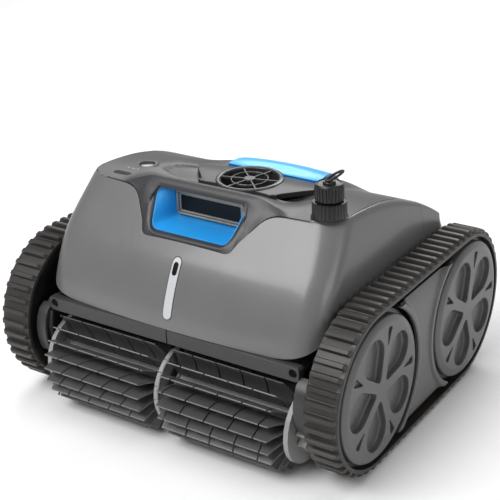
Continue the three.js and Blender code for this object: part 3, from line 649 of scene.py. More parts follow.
def scoop_depth(x, y):
    """Depth of the two hollows beside the pump housing.

    Each is a shallow cone, deepest at its inner front corner, cut off by a straight front edge and
    by a round rim.
    """
    x = abs(x)
    away = np.hypot(x - 50, y + 25)
    front = -28 - (x - 47) * 0.11
    floor = 1.6 + 5.2 * np.clip(1 - away / 45, 0, 1)
    return floor * smooth_step(45, 42.5, away) * smooth_step(0, 3, y - front) * smooth_step(36, 44, x)


def housing_half(y):
    """Half width of the raised pump housing along y: narrow at the front, flared towards the lid."""
    return curve([(-33, 42), (-30, 44.5), (-26, 47), (8, 75), (16, 77.5), (34, 74)], y)


def window_edge(count):
    """Right half of the hand window's edge: top corner, slanted side, low corner, bottom middle."""
    top = np.array([WINDOW_TOP["x"], WINDOW_TOP["y"], WINDOW_TOP["z"]])
    low = np.array([WINDOW_LOW["x"], WINDOW_LOW["y"], WINDOW_LOW["z"]])
    across = np.array([1.0, 0, 0])
    down = (low - top) / np.linalg.norm(low - top)
    radius = 6
    turn = np.linspace(0, 1, 8)[:, None]

    def corner(at, before, after):
        first, last = at - before * radius, at + after * radius
        return (1 - turn) ** 2 * first + 2 * turn * (1 - turn) * at + turn ** 2 * last

    upper = corner(top, across, down)
    lower = corner(low, down, -across)
    return resample(np.concatenate([upper, lower, [[0, low[1], low[2]]]]), count)


def deck_sheet():
    """The deck as joined sheets: the window frame below, and columns over the crest to the rear.

    Columns inside RING_X start at the window's upper edge, and those outside it start at the seam.
    The frame below the window is ruled between the seam and the window's edge, slightly crowned.
    """
    low_rows, face_rows = 10, 7
    edge = window_edge(60)
    seam = seam_line(400)
    seam[:, :2] += np.array([0, SEAM_GAP])
    outer = resample(seam[seam[:, 0] <= RING_X + 0.2], 60)[::-1]
    outer[0, 0] = RING_X
    t = np.linspace(0, 1, low_rows)[:, None, None]
    crown = np.array([0, -0.72, 0.69]) * 1.6 * np.sin(math.pi * t)
    band = outer * (1 - t) + edge * t + crown
    band = np.concatenate([band, mirrored(band[:, -2::-1])], axis=1)

    inner_x = BRIDGE_X
    start = stack(inner_x / RING_X * edge[0, 0], edge[0, 1], edge[0, 2])
    crest = stack(inner_x, CREST_Y, deck_height(inner_x, np.full_like(inner_x, CREST_Y)))
    t = np.linspace(0, 1, face_rows)[:, None, None]
    brow = start * (1 - t) + crest * t + np.array([0, -0.8, 0.5]) * 1.2 * np.sin(math.pi * t)

    outer_x = np.concatenate([np.arange(RING_X, LOBE["x"], 3.0),
                              LOBE["x"] + LOBE["r"] * np.sin(np.linspace(0, math.pi / 2, 12))])
    inset_x = np.minimum(outer_x, LOBE["x"] + LOBE["r"] - SEAM_GAP)
    lobe = np.clip((outer_x - LOBE["x"]) / LOBE["r"], 0, 1)
    front_y = np.where(outer_x < LOBE["x"], curve(SEAM, outer_x),
                       LOBE["y"] - LOBE["r"] * np.sqrt(1 - lobe ** 2)) + SEAM_GAP
    front_z = np.minimum(curve(STAND, front_y - BOW * (outer_x / 160) ** 2), curve(RIDGE, front_y))
    front_z = np.where(outer_x < LOBE["x"], front_z, curve(RIDGE, front_y))
    crest_y = np.maximum(curve(CREST, outer_x), front_y + 1.5)
    crest_z = deck_height(outer_x, crest_y)
    foot = stack(inset_x, front_y, front_z)
    head = stack(inset_x, crest_y, crest_z)
    t = np.linspace(0, 1, low_rows + face_rows - 1)[:, None, None]
    cheek = foot * (1 - t) + head * t + np.array([0, -0.72, 0.69]) * np.sin(math.pi * t) * np.linalg.norm(
        head - foot, axis=1)[None, :, None] * 0.05
    cheek[:low_rows, 0] = band[:, 0]
    cheek[low_rows - 1:, 0] = brow[:, -1]

    along_y = np.concatenate([np.arange(CREST_Y, 45, 2.15), [45], np.linspace(48, 104, 20),
                              np.linspace(107, 127.1, 8)])
    share = (along_y - along_y[0]) / (along_y[-1] - along_y[0])
    x = np.concatenate([inner_x, inset_x[1:]])
    from_y = np.concatenate([np.full(len(inner_x), CREST_Y), crest_y[1:]])
    rear_turn = np.clip((x - DECK_REAR["x"]) / DECK_REAR["r"], 0, 1)
    to_y = DECK_REAR["y"] + DECK_REAR["r"] * np.sqrt(1 - rear_turn ** 2) - SEAM_GAP
    y = from_y + (to_y - from_y) * share[:, None]
    x = x + 0 * y
    under = smooth_step(3, 6, housing_half(y) - abs(x)) * smooth_step(-30, -27, y) * smooth_step(33, 30, y)
    fade = smooth_step(0, 3, y - from_y)
    z = deck_height(x, y) - scoop_depth(x, y) - 1.5 * under * fade
    top = stack(x, y, z)

    def keep(middle):
        bore = np.hypot(middle[:, 0], middle[:, 1] - GRILLE_Y) > 33.8
        well = (abs(middle[:, 0]) > 50) | (middle[:, 1] < 45) | (middle[:, 1] > 104)
        button = np.hypot(middle[:, 0] - BUTTON_AT[0], middle[:, 1] - BUTTON_AT[1]) > 9.6
        return bore & well & button

    sheets = [grid(band), grid(top, keep=keep), grid(mirrored(top), keep=keep)]
    for part in (brow, cheek):
        sheets += [grid(part), grid(mirrored(part))]
    return sheets


def window_lip():
    """The wall that turns in from the hand window's edge all the way round."""
    edge = window_edge(60)
    top = stack(BRIDGE_X / RING_X * edge[0, 0], edge[0, 1], edge[0, 2])
    half = np.concatenate([top[:-1], edge])
    loop = np.concatenate([half, mirrored(half[-2:0:-1])])
    inwards = np.array([0, 1.0, -0.08])
    middle = np.array([0, -103.0, 229.0])
    rows = [(0, 0), (1.2, 0.012), (3.2, 0.02)]
    return np.stack([loop + inwards * depth + (middle - loop) * pinch for depth, pinch in rows])


def make_deck():
    """Top deck with the window frame, the bridge over the hand window and the hinge ears."""
    lip = window_lip()
    deck = make_piece("deck_skin", deck_sheet() + [grid(lip, wrap_columns=True)], MATERIALS["deck"], "hull",
                      ["top_deck"], outward=(0, 0, 100), wall=1.8, bevel=0.9, sharp=32)
    places = np.empty(len(deck.data.vertices) * 3)
    deck.data.vertices.foreach_get("co", places)
    x, y = places.reshape(-1, 3)[:, :2].T / MM
    # Mask of painted shade for the deck finish: 1 in the two hollows beside the pump housing.
    scoop_shade = smooth_step(0.1, 1.2, scoop_depth(x, y)) * (y > -60)
    deck.data.attributes.new("scoop_shade", "FLOAT", "POINT").data.foreach_set("value", scoop_shade)
    ears = []
    low, high = node_box("lid_hinge_pin")
    centre = (low + high) / 2
    for side in (-1, 1):
        outline = rounded_box(4.2, 6.1, 3.6) + centre[1:] + np.array([0, -2.9])
        ears += plate("x", outline, side * 44, side * 48, 0.8)
    make_piece("lid_hinge_ears", ears, MATERIALS["deck"], "hull")


# ---------- tracks, covers and fairings ----------
def belt_loop(along, radius):
    """A point on the belt's loop and its outward direction, as (y, z) pairs.

    The loop is two straights between the axles and two half circles; along is the length walked
    from above the front axle at the given radius.
    """
    run, half = 2 * WHEEL_Y, math.pi * radius
    y = -WHEEL_Y + np.clip(along, 0, run) - np.clip(along - run - half, 0, run)
    angle = math.pi / 2 - (np.clip(along - run, 0, half) + np.clip(along - 2 * run - half, 0, half)) / radius
    return y, angle


def make_belts():
    """Track belts: a band carried round the loop, with flat-topped lugs that round off at their ends.

    The height above the band is the lug's pulse along the loop times its end profile across it.
    """
    sizes = bpy.context.scene.cleaner_sizes
    height, outer = sizes.lug_height / MM, LUG_TIP_R - sizes.lug_height / MM
    inner = outer - 3.8
    pulse = np.array([(0.02, 0), (0.24, 0), (0.285, 0.08), (0.325, 0.86), (0.355, 1), (0.5, 1.02), (0.645, 1),
                      (0.675, 0.86), (0.715, 0.08), (0.76, 0)])
    loop = 4 * WHEEL_Y + 2 * math.pi * outer
    along = (np.arange(sizes.lugs)[:, None] + pulse[:, 0]).ravel() / sizes.lugs * loop
    rise = np.tile(pulse[:, 1], sizes.lugs)[:, None] * height
    width = BELT_X[1] - BELT_X[0]
    section = np.array([(0, inner, 0), (0, outer - 0.5, 0), (0.4, outer, 0), (0.9, outer, 0.3),
                        (1.6, outer, 0.78), (3, outer, 1), (8, outer, 1), (width - 8, outer, 1),
                        (width - 5.6, outer, 1), (width - 3.4, outer, 0.93), (width - 1.9, outer, 0.7),
                        (width - 1.1, outer, 0.32), (width - 0.8, outer, 0), (width - 0.3, outer - 0.1, 0),
                        (width, outer - 0.6, 0), (width, inner, 0)])
    y, angle = belt_loop(along[:, None], outer)
    radius = section[:, 1] + rise * section[:, 2]
    for name, side in SIDES:
        x = side * (BELT_X[0] + section[:, 0])
        points = stack(x, y + radius * np.cos(angle), AXLE_Z + radius * np.sin(angle))
        make_piece(f"{name}_track_belt", [grid(points, True, True)], MATERIALS["rubber"], "hull",
                   [f"{name}_belt"], sharp=28)


def petal(angle, centre, reach=(16, 44), radii=(4, 19.5)):
    """Outline of a petal pocket: a small circle near the hub, a large one, and their tangents."""
    lean = math.acos((radii[0] - radii[1]) / (reach[1] - reach[0]))
    far, near = np.linspace(-lean, lean, 28), np.linspace(lean, 2 * math.pi - lean, 8)
    local = np.concatenate([stack(reach[1] + radii[1] * np.cos(far), radii[1] * np.sin(far)),
                            stack(reach[0] + radii[0] * np.cos(near), radii[0] * np.sin(near))])
    return turned(local, angle) + centre


def turned(points, angle):
    """Flat points turned about the origin."""
    c, s = math.cos(angle), math.sin(angle)
    return points @ np.array([[c, s], [-s, c]])


def make_covers():
    """Wheel covers: a bevelled disc with five petal pockets and five small wedge slots."""
    low, high = COVER_X
    for end_name, end in ENDS:
        for name, side in SIDES:
            centre = np.array([end * WHEEL_Y, AXLE_Z])
            pockets = []
            for k in range(5):
                pockets.append((petal(math.radians(39.5 + 72 * k), centre), side * (high - 7.2), 2.6))
                wedge = np.array([(46, -0.5), (62.5, -4.2), (64.5, -2.4), (63.5, 3.6), (61, 4.0), (46, 0.6)])
                wedge = turned(wedge, math.radians(3.5 + 72 * k)) + centre
                pockets.append((wedge, side * (high - 3.6), 0.5))
            rim = [(0, low), (0, high - 3.2), (0.35, high - 2.6), (1.2, high - 2.2), (4.5, high - 0.8),
                   (7.2, high - 0.12), (8.4, high), (8.8, high)]
            make_piece(f"{end_name}_{name}_wheel_cover",
                       plate("x", circle(COVER_R, centre, 96), side * low, side * high, 0.7, pockets=pockets,
                             rim=[(d, side * h) for d, h in rim]),
                       MATERIALS["cover"], f"{end_name}_{name}_wheel_set", [f"{end_name}_{name}_cover"],
                       sharp=40)


def make_fairings():
    """Fairings: an hourglass between two circles, with a raised rim along each circle.

    Rows climb in z; columns run between the circles of radius 81 round the axles. The face stands
    2 mm higher within 86 mm of an axle and falls smoothly by 89 mm.
    """
    z = np.linspace(18, 160, 64)[:, None]
    across = np.sin(np.linspace(-1, 1, 61) * math.pi / 2)[None, :]
    y = across * (WHEEL_Y - np.sqrt(81 ** 2 - (z - AXLE_Z) ** 2))
    away = np.hypot(WHEEL_Y - abs(y), z - AXLE_Z)
    x = 205.9 + 2.1 * (1 - smooth_step(86.2, 88.6, away)) - 0.9 * (1 - smooth_step(81, 82.4, away))
    x = x - 3.2 * (abs(z - AXLE_Z) / 71) ** 6 * smooth_step(86, 92, away)
    for name, side in SIDES:
        make_piece(f"{name}_waist_fairing", [grid(stack(side * x, y, z))], MATERIALS["cover"], "hull",
                   [f"{name}_fairing"], outward=(side * 150, 0, AXLE_Z), wall=3, bevel=0.5)
    studs = []
    for side in (-1, 1):
        for y in (-57, -52):
            studs.append(rod("x", 1.8, side * 197, side * 207.6, (0, y, 162.6), -0.5 * side, 16))
    make_piece("belt_keeper_studs", studs, MATERIALS["black"], "hull")


# ---------- brushes ----------
def make_brushes():
    """Roller brushes: a core with rows of blades that are cut into segments by slanted slits.

    Each blade is a thin curved plate from the core to the tip. From row to row the slits shift a
    fifth of a segment, and every segment leans by a few millimetres from root to tip.
    """
    sizes = bpy.context.scene.cleaner_sizes
    tip, reach = sizes.brush_radius / MM, np.array([0.0, 0.35, 0.7, 1.0])
    for end_name, end in ENDS:
        for name, side in SIDES:
            start, stop = (8.4 if side < 0 else 2.8), 145.6
            width = (stop - start) / 5
            centre = (0, end * BRUSH_Y, BRUSH_Z)
            rows = np.arange(sizes.brush_rows)
            edges = start + (np.arange(7)[None, :] - 1 + (rows[:, None] * 0.2) % 1) * width
            low, high = np.clip(edges[:, :-1], start, stop), np.clip(edges[:, 1:], start, stop)
            row, part = np.nonzero(high - low > 5)
            low, high = low[row, part][:, None], high[row, part][:, None]
            radius = 21 + (tip - 21) * reach
            slant = 5 * reach - 2.5
            first = low + 0.9 + np.where(low > start + 0.1, slant, 0)
            last = high - 0.9 + np.where(high < stop - 0.1, slant, 0)
            chamfer = 11 * smooth_step(28, tip + 4, radius)
            if side > 0:
                last = np.minimum(last, stop - chamfer)
                first = np.minimum(first, last - 2)
            else:
                first = np.maximum(first, start + chamfer)
                last = np.maximum(last, first + 2)
            half = 0.85 - 0.3 * reach
            angle = (row[:, None] + 0.5) / sizes.brush_rows * 2 * math.pi - 0.1 * reach ** 2
            ring = []
            for x, turn in ((first, -half), (last, -half), (last, half), (first, half)):
                y = radius * np.cos(angle) - turn * np.sin(angle)
                z = radius * np.sin(angle) + turn * np.cos(angle)
                ring.append(stack(side * x, end * y, z))
            points = np.stack(ring, axis=2) + np.array(centre)
            count, levels = points.shape[:2]
            around = [[4 * k + c, 4 * k + (c + 1) % 4, 4 * k + 4 + (c + 1) % 4, 4 * k + 4 + c]
                      for k in range(levels - 1) for c in range(4)]
            quads = np.array(around + [[0, 1, 2, 3], [12, 13, 14, 15]])
            blades = (quads[None] + np.arange(count)[:, None, None] * levels * 4).reshape(-1, 4)
            body = f"{end_name}_{name}_brush_set"
            make_piece(f"{end_name}_{name}_brush_blades", [(points.reshape(-1, 3), blades)],
                       MATERIALS["brush"], body, [f"{end_name}_{name}_brush"], sharp=40)
            core = [(0, start), (23.2, start), (23.6, start + 0.6), (23.6, start + 3), (22, start + 4),
                    (22, stop - 4), (23.6, stop - 3), (23.6, stop), (0, stop)]
            core = [(radius, side * x) for radius, x in core]
            make_piece(f"{end_name}_{name}_brush_core", [lathe("x", core, centre, 72)],
                       MATERIALS["core"], body)
        low, high = [corner[0] for corner in node_box(f"{end_name}_centre_disc")]
        rim = [(24.2, low + 1.4), (37, low + 1.4), (38.4, low + 0.3), (41.6, low), (42.4, low + 0.8),
               (42.4, high - 0.8), (41.6, high), (38.4, high - 0.3), (37, high - 1.4), (24.2, high - 1.4)]

        def notched(radius, angle, place):
            """Eighteen shallow notches in the rim."""
            return radius - 1.3 * (radius > 38) * smooth_step(0.93, 0.99, np.cos(18 * angle))

        make_piece(f"{end_name}_middle_disc",
                   [lathe("x", rim + rim[:1], (0, end * BRUSH_Y, BRUSH_Z), 288, notched)],
                   MATERIALS["acetal"], f"{end_name}_left_brush_set", [f"{end_name}_centre_disc"])


# ---------- bumper bars and brush guards ----------
def make_guards():
    """Brush guards: an upright strip at each end of the side frames, a profile carried along x."""
    front = np.array([(158, 117.2), (166, 113), (171, 104), (173.4, 92), (173, 80), (170.6, 70), (167.6, 64)])
    back = np.array([(164.6, 65), (167.6, 71), (170, 80), (170.4, 92), (168.2, 103), (163.6, 110.6),
                     (157, 114.6)])
    outline = np.concatenate([front, back])
    patches = []
    for end in (-1, 1):
        for side in (-1, 1):
            patches += plate("x", outline * np.array([end, 1]), side * 154.5, side * 166.8, 0.4)
    make_piece("brush_guards", patches, MATERIALS["deck"], "hull")


def make_bars():
    """Bumper bars: a half bar on each side of the seam in the middle, with a screw hole, on a web."""
    for end_name, end in ENDS:
        for name, side in SIDES:
            screw = node_middle(f"{end_name}_bar_screw_{name}")
            face, back = end * 162, end * 153
            inner, outer = side * 0.35, side * 155
            outline = np.array([(inner, 112), (outer - side * 3, 112), (outer, 115), (outer, 125.4),
                                (outer - side * 2, 127.4), (inner, 127.4)])
            patches = plate("y", outline, back, face, 0.9, holes=[circle(4.3, screw[[0, 2]], 24)])
            web = np.array([(inner, 112.5), (side * 149, 112.5), (side * 149, 116.5), (inner, 116.5)])
            patches += plate("y", web, end * 80.4, end * 153.5, 0.3)
            make_piece(f"{end_name}_bumper_{name}", patches, MATERIALS["deck"], "hull",
                       [f"{end_name}_bar_{name}"])


# ---------- pump housing, outlet guard and lid ----------
def make_housing():
    """Raised pump housing: a plate over the deck whose sides flare towards the lid, with its guard."""
    y = np.concatenate([np.linspace(-31, -26, 5), np.arange(-24, 31, 2.0), np.linspace(31.5, 34, 4)])[:, None]
    across = np.linspace(-1, 1, 61)[None, :]
    x = across * housing_half(y)
    top = curve([(-34, 235.6), (-10, 235.6), (6, 234.9), (20, 232.4), (36, 228)], y)
    top = top - 1.6 * abs(across) ** 4
    bore = (lambda middle: np.hypot(middle[:, 0], middle[:, 1] - GRILLE_Y) > 32.5)
    make_piece("pump_housing_plate", [grid(stack(x, y, top), keep=bore)], MATERIALS["deck"], "hull",
               outward=(0, 0, 150), wall=6, bevel=0.6)
    ribs = []
    for side in (-1, 1):
        for k in range(4):
            at = side * (42.2 + 1.9 * k)
            ribs.append(brick((at - 0.55, -32.4 + 0.8 * k, 228), (at + 0.55, -28 + 0.8 * k, 234.8)))
    make_piece("pump_housing_ribs", ribs, MATERIALS["deck"], "hull")

    place = (0, GRILLE_Y, 0)
    top = GRILLE_TOP
    ring = [(30.8, 212), (30.8, top - 1.4), (31.6, top - 0.4), (32.6, top), (34.6, top), (36, top - 0.7),
            (36.5, top - 1.8), (36.5, top - 4.4), (33.4, top - 4.8), (33.2, 212)]
    patches = [lathe("z", ring + ring[:1], place, 128)]
    hoop = [(18.7, top - 3.6), (20.3, top - 3.6), (20.3, top - 1.4), (19.9, top - 1.0), (19.1, top - 1.0),
            (18.7, top - 1.4)]
    patches.append(lathe("z", hoop + hoop[:1], place, 96))
    for k in range(6):
        spoke = np.array([(4.5, -0.8), (32, -0.8), (32, 0.8), (4.5, 0.8)])
        spoke = turned(spoke, math.radians(60 * k + 15)) + np.array([0, GRILLE_Y])
        patches += plate("z", spoke, top - 3.6, top - 1.1, 0.3)
    patches.append(rod("z", 6.4, top - 4, top - 0.7, place, 0.6, 48))
    make_piece("outlet_guard_ring", patches, MATERIALS["guard"], "hull", ["outlet_guard"])


def make_lid():
    """Rear lid: a crowned sheet over the deck with rounded corners, a darker edge as painted shade, and its
    barrel.
    """
    low_y, high_y = LID_LOW[1] + 0.4, 112.0
    turn = np.linspace(0, math.pi / 2, 9)
    corner = 5
    middle = np.linspace(low_y + corner, high_y - corner, 26)[1:-1]
    y = np.concatenate([low_y + corner * (1 - np.cos(turn)), middle,
                        high_y - corner * (1 - np.cos(turn[::-1]))])
    edge = np.clip(np.minimum(y - low_y, high_y - y), 0, corner)
    half = LID_HIGH[0] - corner + np.sqrt(corner ** 2 - (corner - edge) ** 2) - 12 * smooth_step(44, 112, y)
    across = np.sin(np.linspace(-1, 1, 61) * math.pi / 2)
    x, y = half[:, None] * across, y[:, None] + 0 * across
    z = curve(MIDDLE, y) + 4.8 + 3 * smooth_step(38, 62, y) * (1 - (x / LID_HIGH[0]) ** 2)
    lid = make_piece("filter_lid_skin", [grid(stack(x, y, z))], MATERIALS["lid"], "filter_lid", ["rear_lid"],
                     outward=(0, 60, 100), wall=4.2, bevel=0.8)
    # Painted shade: the solidify rim, which is the lid's cut edge, takes the darker copy of the lid's blue.
    lid.data.materials.append(MATERIALS["lid_shaded_edge"])
    lid.modifiers["wall"].material_offset_rim = 1
    low, high = node_box("lid_hinge_pin")
    pin = (low + high) / 2
    patches = [rod("x", 3.8, -43.5, 43.5, (0, *pin[1:]), 0.5, 40)]
    tongue = np.array([(-43, 111), (43, 111), (43, pin[1]), (-43, pin[1])])
    patches += plate("z", tongue, pin[2] - 0.5, pin[2] + 3, 0.6)
    # The barrel uses the same painted-shade copy of the lid's blue.
    make_piece("filter_lid_barrel", patches, MATERIALS["lid_shaded_edge"], "filter_lid")


# ---------- hand tray and sight window ----------
def make_tray():
    """Hand tray: a channel with round lower corners that narrows towards its back wall."""
    depth = np.linspace(0, 1, 22)
    turn = np.linspace(0, 1, 9)[:, None]
    sections = []
    for t in depth:
        top = np.array([56.2 - 12.5 * t, 247.0])
        low = np.array([47.6 - 5.5 * t, 210.6 + 0.8 * t])
        down = (low - top) / np.linalg.norm(low - top)
        first, last = low - down * 9, low + np.array([-9.0, 0])
        bend = (1 - turn) ** 2 * first + 2 * turn * (1 - turn) * low + turn ** 2 * last
        side = top + (first - top) * np.linspace(0, 1, 8)[:-1, None]
        half = np.concatenate([side, bend, np.linspace(last, (0, low[1]), 10)[1:]])
        sections.append(np.concatenate([half, half[-2::-1] * np.array([-1, 1])]))
    section = np.array(sections)
    x, z = section[..., 0], section[..., 1]
    slope = (WINDOW_TOP["y"] - WINDOW_LOW["y"]) / (WINDOW_TOP["z"] - WINDOW_LOW["z"])
    front = WINDOW_LOW["y"] + slope * (z - WINDOW_LOW["z"]) + 1.3
    y = front + (-73.6 - front) * depth[:, None]
    make_piece("hand_tray_channel", [grid(stack(x, y, z))], MATERIALS["tray"], "hull", ["hand_tray"],
               outward=(0, -95, 260), wall=1.6, bevel=0.4)
    edge = section[-1] + np.sign(section[-1]) * 0.4
    hole = rounded_box(38.2, 10.4, 2) + np.array([0, 228])
    make_piece("hand_tray_back", plate("y", edge, -71.6, -73.6, 0.3, holes=[hole]), MATERIALS["tray"],
               "hull")


def make_sight():
    """Sight frame: two nested rings, the inner one set back, round the smoked pane."""
    middle = np.array([0, (SIGHT_LOW[2] + SIGHT_HIGH[2]) / 2 - 0.5])
    patches = plate("y", rounded_box(42, 13.4, 3) + middle, -75.2, -78.4, 0.8,
                    holes=[rounded_box(39.4, 10.9, 2) + middle])
    patches += plate("y", rounded_box(39.2, 10.7, 2) + middle, -75.0, -76.9, 0.6,
                     holes=[rounded_box(37, 8.6, 1.5) + middle])
    make_piece("sight_window_frame", patches, MATERIALS["trim"], "hull", ["sight_frame"])


# ---------- status light, controls and connector ----------
def make_light():
    """Status light: a stadium strip lying on the front face, a dark outline and a small display."""
    def strip(low, high, half, proud):
        """Rows up the face; each row spans the stadium's width there and stands proud of the face."""
        turn = np.linspace(0, math.pi / 2, 9)
        z = np.concatenate([low + half * (1 - np.cos(turn)), np.linspace(low + half, high - half, 14)[1:-1],
                            high - half * (1 - np.cos(turn[::-1]))])
        edge = np.clip(np.minimum(z - low, high - z), 0, half)
        x = np.sqrt(half ** 2 - (half - edge) ** 2)[:, None] * np.linspace(-1, 1, 13)
        z = z[:, None] + 0 * x
        crown = 0.25 * (1 - (x / half) ** 2)
        return [grid(stack(x, face_y(x, z) - proud - crown, z))]

    inside = (0, 0, 150)
    make_piece("status_light_strip", strip(139, 196.4, 4.9, 0.35), MATERIALS["diffuser"], "hull",
               ["status_light"], outward=inside, wall=2, bevel=0.2)
    make_piece("status_light_outline", strip(138.2, 197.2, 5.6, 0.12), MATERIALS["black"], "hull",
               outward=inside, wall=1)
    make_piece("status_display", strip(180.5, 192.5, 2.9, 0.62), MATERIALS["lens"], "hull",
               outward=inside, wall=1)


def on_deck(outline, rise):
    """A flat outline laid over the deck, a set rise above it, as one filled patch."""
    x, y = np.asarray(outline).T
    points, faces = fill([stack(x, y, deck_height(x, y) + rise)])
    return points, faces


def make_controls():
    """Controls on the left lobe: a display slot, a push button in its collar, and three plain marks."""
    low, high = LENS_LOW[:2], LENS_HIGH[:2]
    slot = rounded_box((high[0] - low[0]) / 2, (high[1] - low[1]) / 2, 3.5) + (low + high) / 2
    make_piece("indicator_slot", [on_deck(slot, 0.35)], MATERIALS["lens"], "hull", ["indicator_lens"],
               outward=(-116, -72, 0), wall=1.2, bevel=0.2)
    x, y = BUTTON_AT[:2]
    top = float(deck_height(np.array(x), np.array(y)))
    collar = [(8.3, top - 7), (8.3, top - 0.1), (8.9, top + 0.5), (11.6, top + 0.4), (12.4, top - 0.6),
              (12.4, top - 7)]
    make_piece("button_collar", [lathe("z", collar + collar[:1], (x, y, 0), 64)], MATERIALS["deck"],
               "hull")
    cap = [(0, top - 6), (8, top - 6), (8, top - 0.5), (7.4, top + 0.05), (4, top + 0.3), (0, top + 0.35)]
    make_piece("button_cap", [lathe("z", cap, (x, y, 0), 64)], MATERIALS["lens"], "start_button",
               ["power_button"])
    marks = [on_deck(circle(1.5, (-121, -55), 20), 0.12),
             on_deck(rounded_box(2.4, 0.7, 0.6) + np.array([-114.5, -55.5]), 0.12),
             on_deck(rounded_box(0.7, 1.7, 0.6) + np.array([-109, -55]), 0.12)]
    make_piece("lobe_marks", marks, MATERIALS["mark"], "hull",
               outward=(-116, -72, 0), wall=0.3)


def ribbed(count, depth, low, high):
    """Radius rule for upright ribs between two heights: square waves with soft flanks."""
    def rule(radius, angle, place):
        wave = 0.5 + 0.5 * np.tanh(3 * np.cos(count * angle)) / math.tanh(3)
        inside = (place > low) & (place < high) & (radius > 8)
        return radius - depth * (1 - wave) * inside
    return rule


def make_connector():
    """Float line connector: a ribbed socket, a ribbed cap with a recessed top, and a wire clip."""
    place = (KNOB_X, KNOB_Y, 0)
    base, middle = KNOB_Z - 0.3, node_box("connector_cap")[0][2]
    top = node_box("connector_cap")[1][2]
    socket = [(0, base), (18.2, base), (18.2, base + 1.2), (17, base + 1.8), (17, middle - 2.4),
              (16.6, middle - 1.2), (15.6, middle - 0.9), (15.2, middle - 1.4), (0, middle - 1.4)]
    make_piece("connector_lower", [lathe("z", socket, place, 280, ribbed(28, 1.6, base + 2, middle - 2))],
               MATERIALS["black"], "hull", ["connector_socket"], sharp=30)
    cap = [(0, middle), (13.4, middle), (14.5, middle + 1), (14.3, top - 3.2), (13.2, top - 1.2),
           (12.6, top - 0.3), (11.6, top), (11, top - 0.8), (6.4, top - 0.9), (6, top + 1), (5.4, top + 1.6),
           (0, top + 1.6)]
    make_piece("connector_upper", [lathe("z", cap, place, 240, ribbed(24, 1.4, middle + 0.5, top - 3))],
               MATERIALS["black"], "float_connector", ["connector_cap"], sharp=30)
    length = np.linspace(0, 2 * math.pi, 48, endpoint=False)
    turn = np.linspace(0, 2 * math.pi, 12, endpoint=False)
    local = stack(9.5 * np.cos(length) + 6, 3.4 * np.sin(length), 0 * length)
    lean, heading = math.radians(24), math.radians(52)
    along = np.array([math.cos(lean) * math.cos(heading), math.cos(lean) * math.sin(heading), math.sin(lean)])
    side = np.array([-math.sin(heading), math.cos(heading), 0])
    normal = np.cross(along, side)
    spine = local[:, :1] * along + local[:, 1:2] * side + np.array([KNOB_X, KNOB_Y, top + 3.4])
    outwards = np.cos(length)[:, None] * along * 3.4 + np.sin(length)[:, None] * side * 9.5
    outwards /= np.linalg.norm(outwards, axis=1, keepdims=True)
    turn = turn[None, :, None]
    tube = spine[:, None] + 1.3 * (np.cos(turn) * outwards[:, None] + np.sin(turn) * normal)
    make_piece("connector_wire_clip", [grid(tube, True, True)], MATERIALS["black"], "float_connector",
               ["connector_clip"])


# ---------- pieces of the frame that keep their shape ----------
CARRIED = {
    "frame": ["chassis_tub", "left_side_frame", "right_side_frame", "front_hanger", "rear_hanger"],
    "black": ["impeller", "pump_motor", "intake_flap", "control_box", "front_left_wheel", "front_right_wheel",
              "rear_left_wheel", "rear_right_wheel"],
    "acetal": ["battery_pack", "left_motor_pinion", "right_motor_pinion", "front_left_brush_cap",
               "front_right_brush_cap", "rear_left_brush_cap", "rear_right_brush_cap"],
    "steel": ["lid_hinge_pin", "left_drive_motor", "right_drive_motor"],
    # Painted shade: the bar screws are near black to stand for the dark of their holes.
    "screw_hole_shade": ["front_bar_screw_left", "front_bar_screw_right", "rear_bar_screw_left", "rear_bar_screw_right"],
    "mesh": ["filter_basket"],
    "pane": ["sight_pane"],
}


def finish_carried():
    """Gives each piece of the frame that keeps its shape its own finish."""
    for finish, names in CARRIED.items():
        for name in names:
            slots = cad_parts[name].material_slots
            for slot in slots:
                slot.link = "OBJECT"
                slot.material = MATERIALS[finish]


# ---------- stage ----------
def aim(thing, place, target):
    """Places a light, in millimetres, and turns it to look at a target."""
    place, target = Vector(place) * MM, Vector(target) * MM
    turn = (target - place).to_track_quat("-Z", "Y").to_matrix().to_4x4()
    thing.matrix_world = Matrix.Translation(place) @ turn


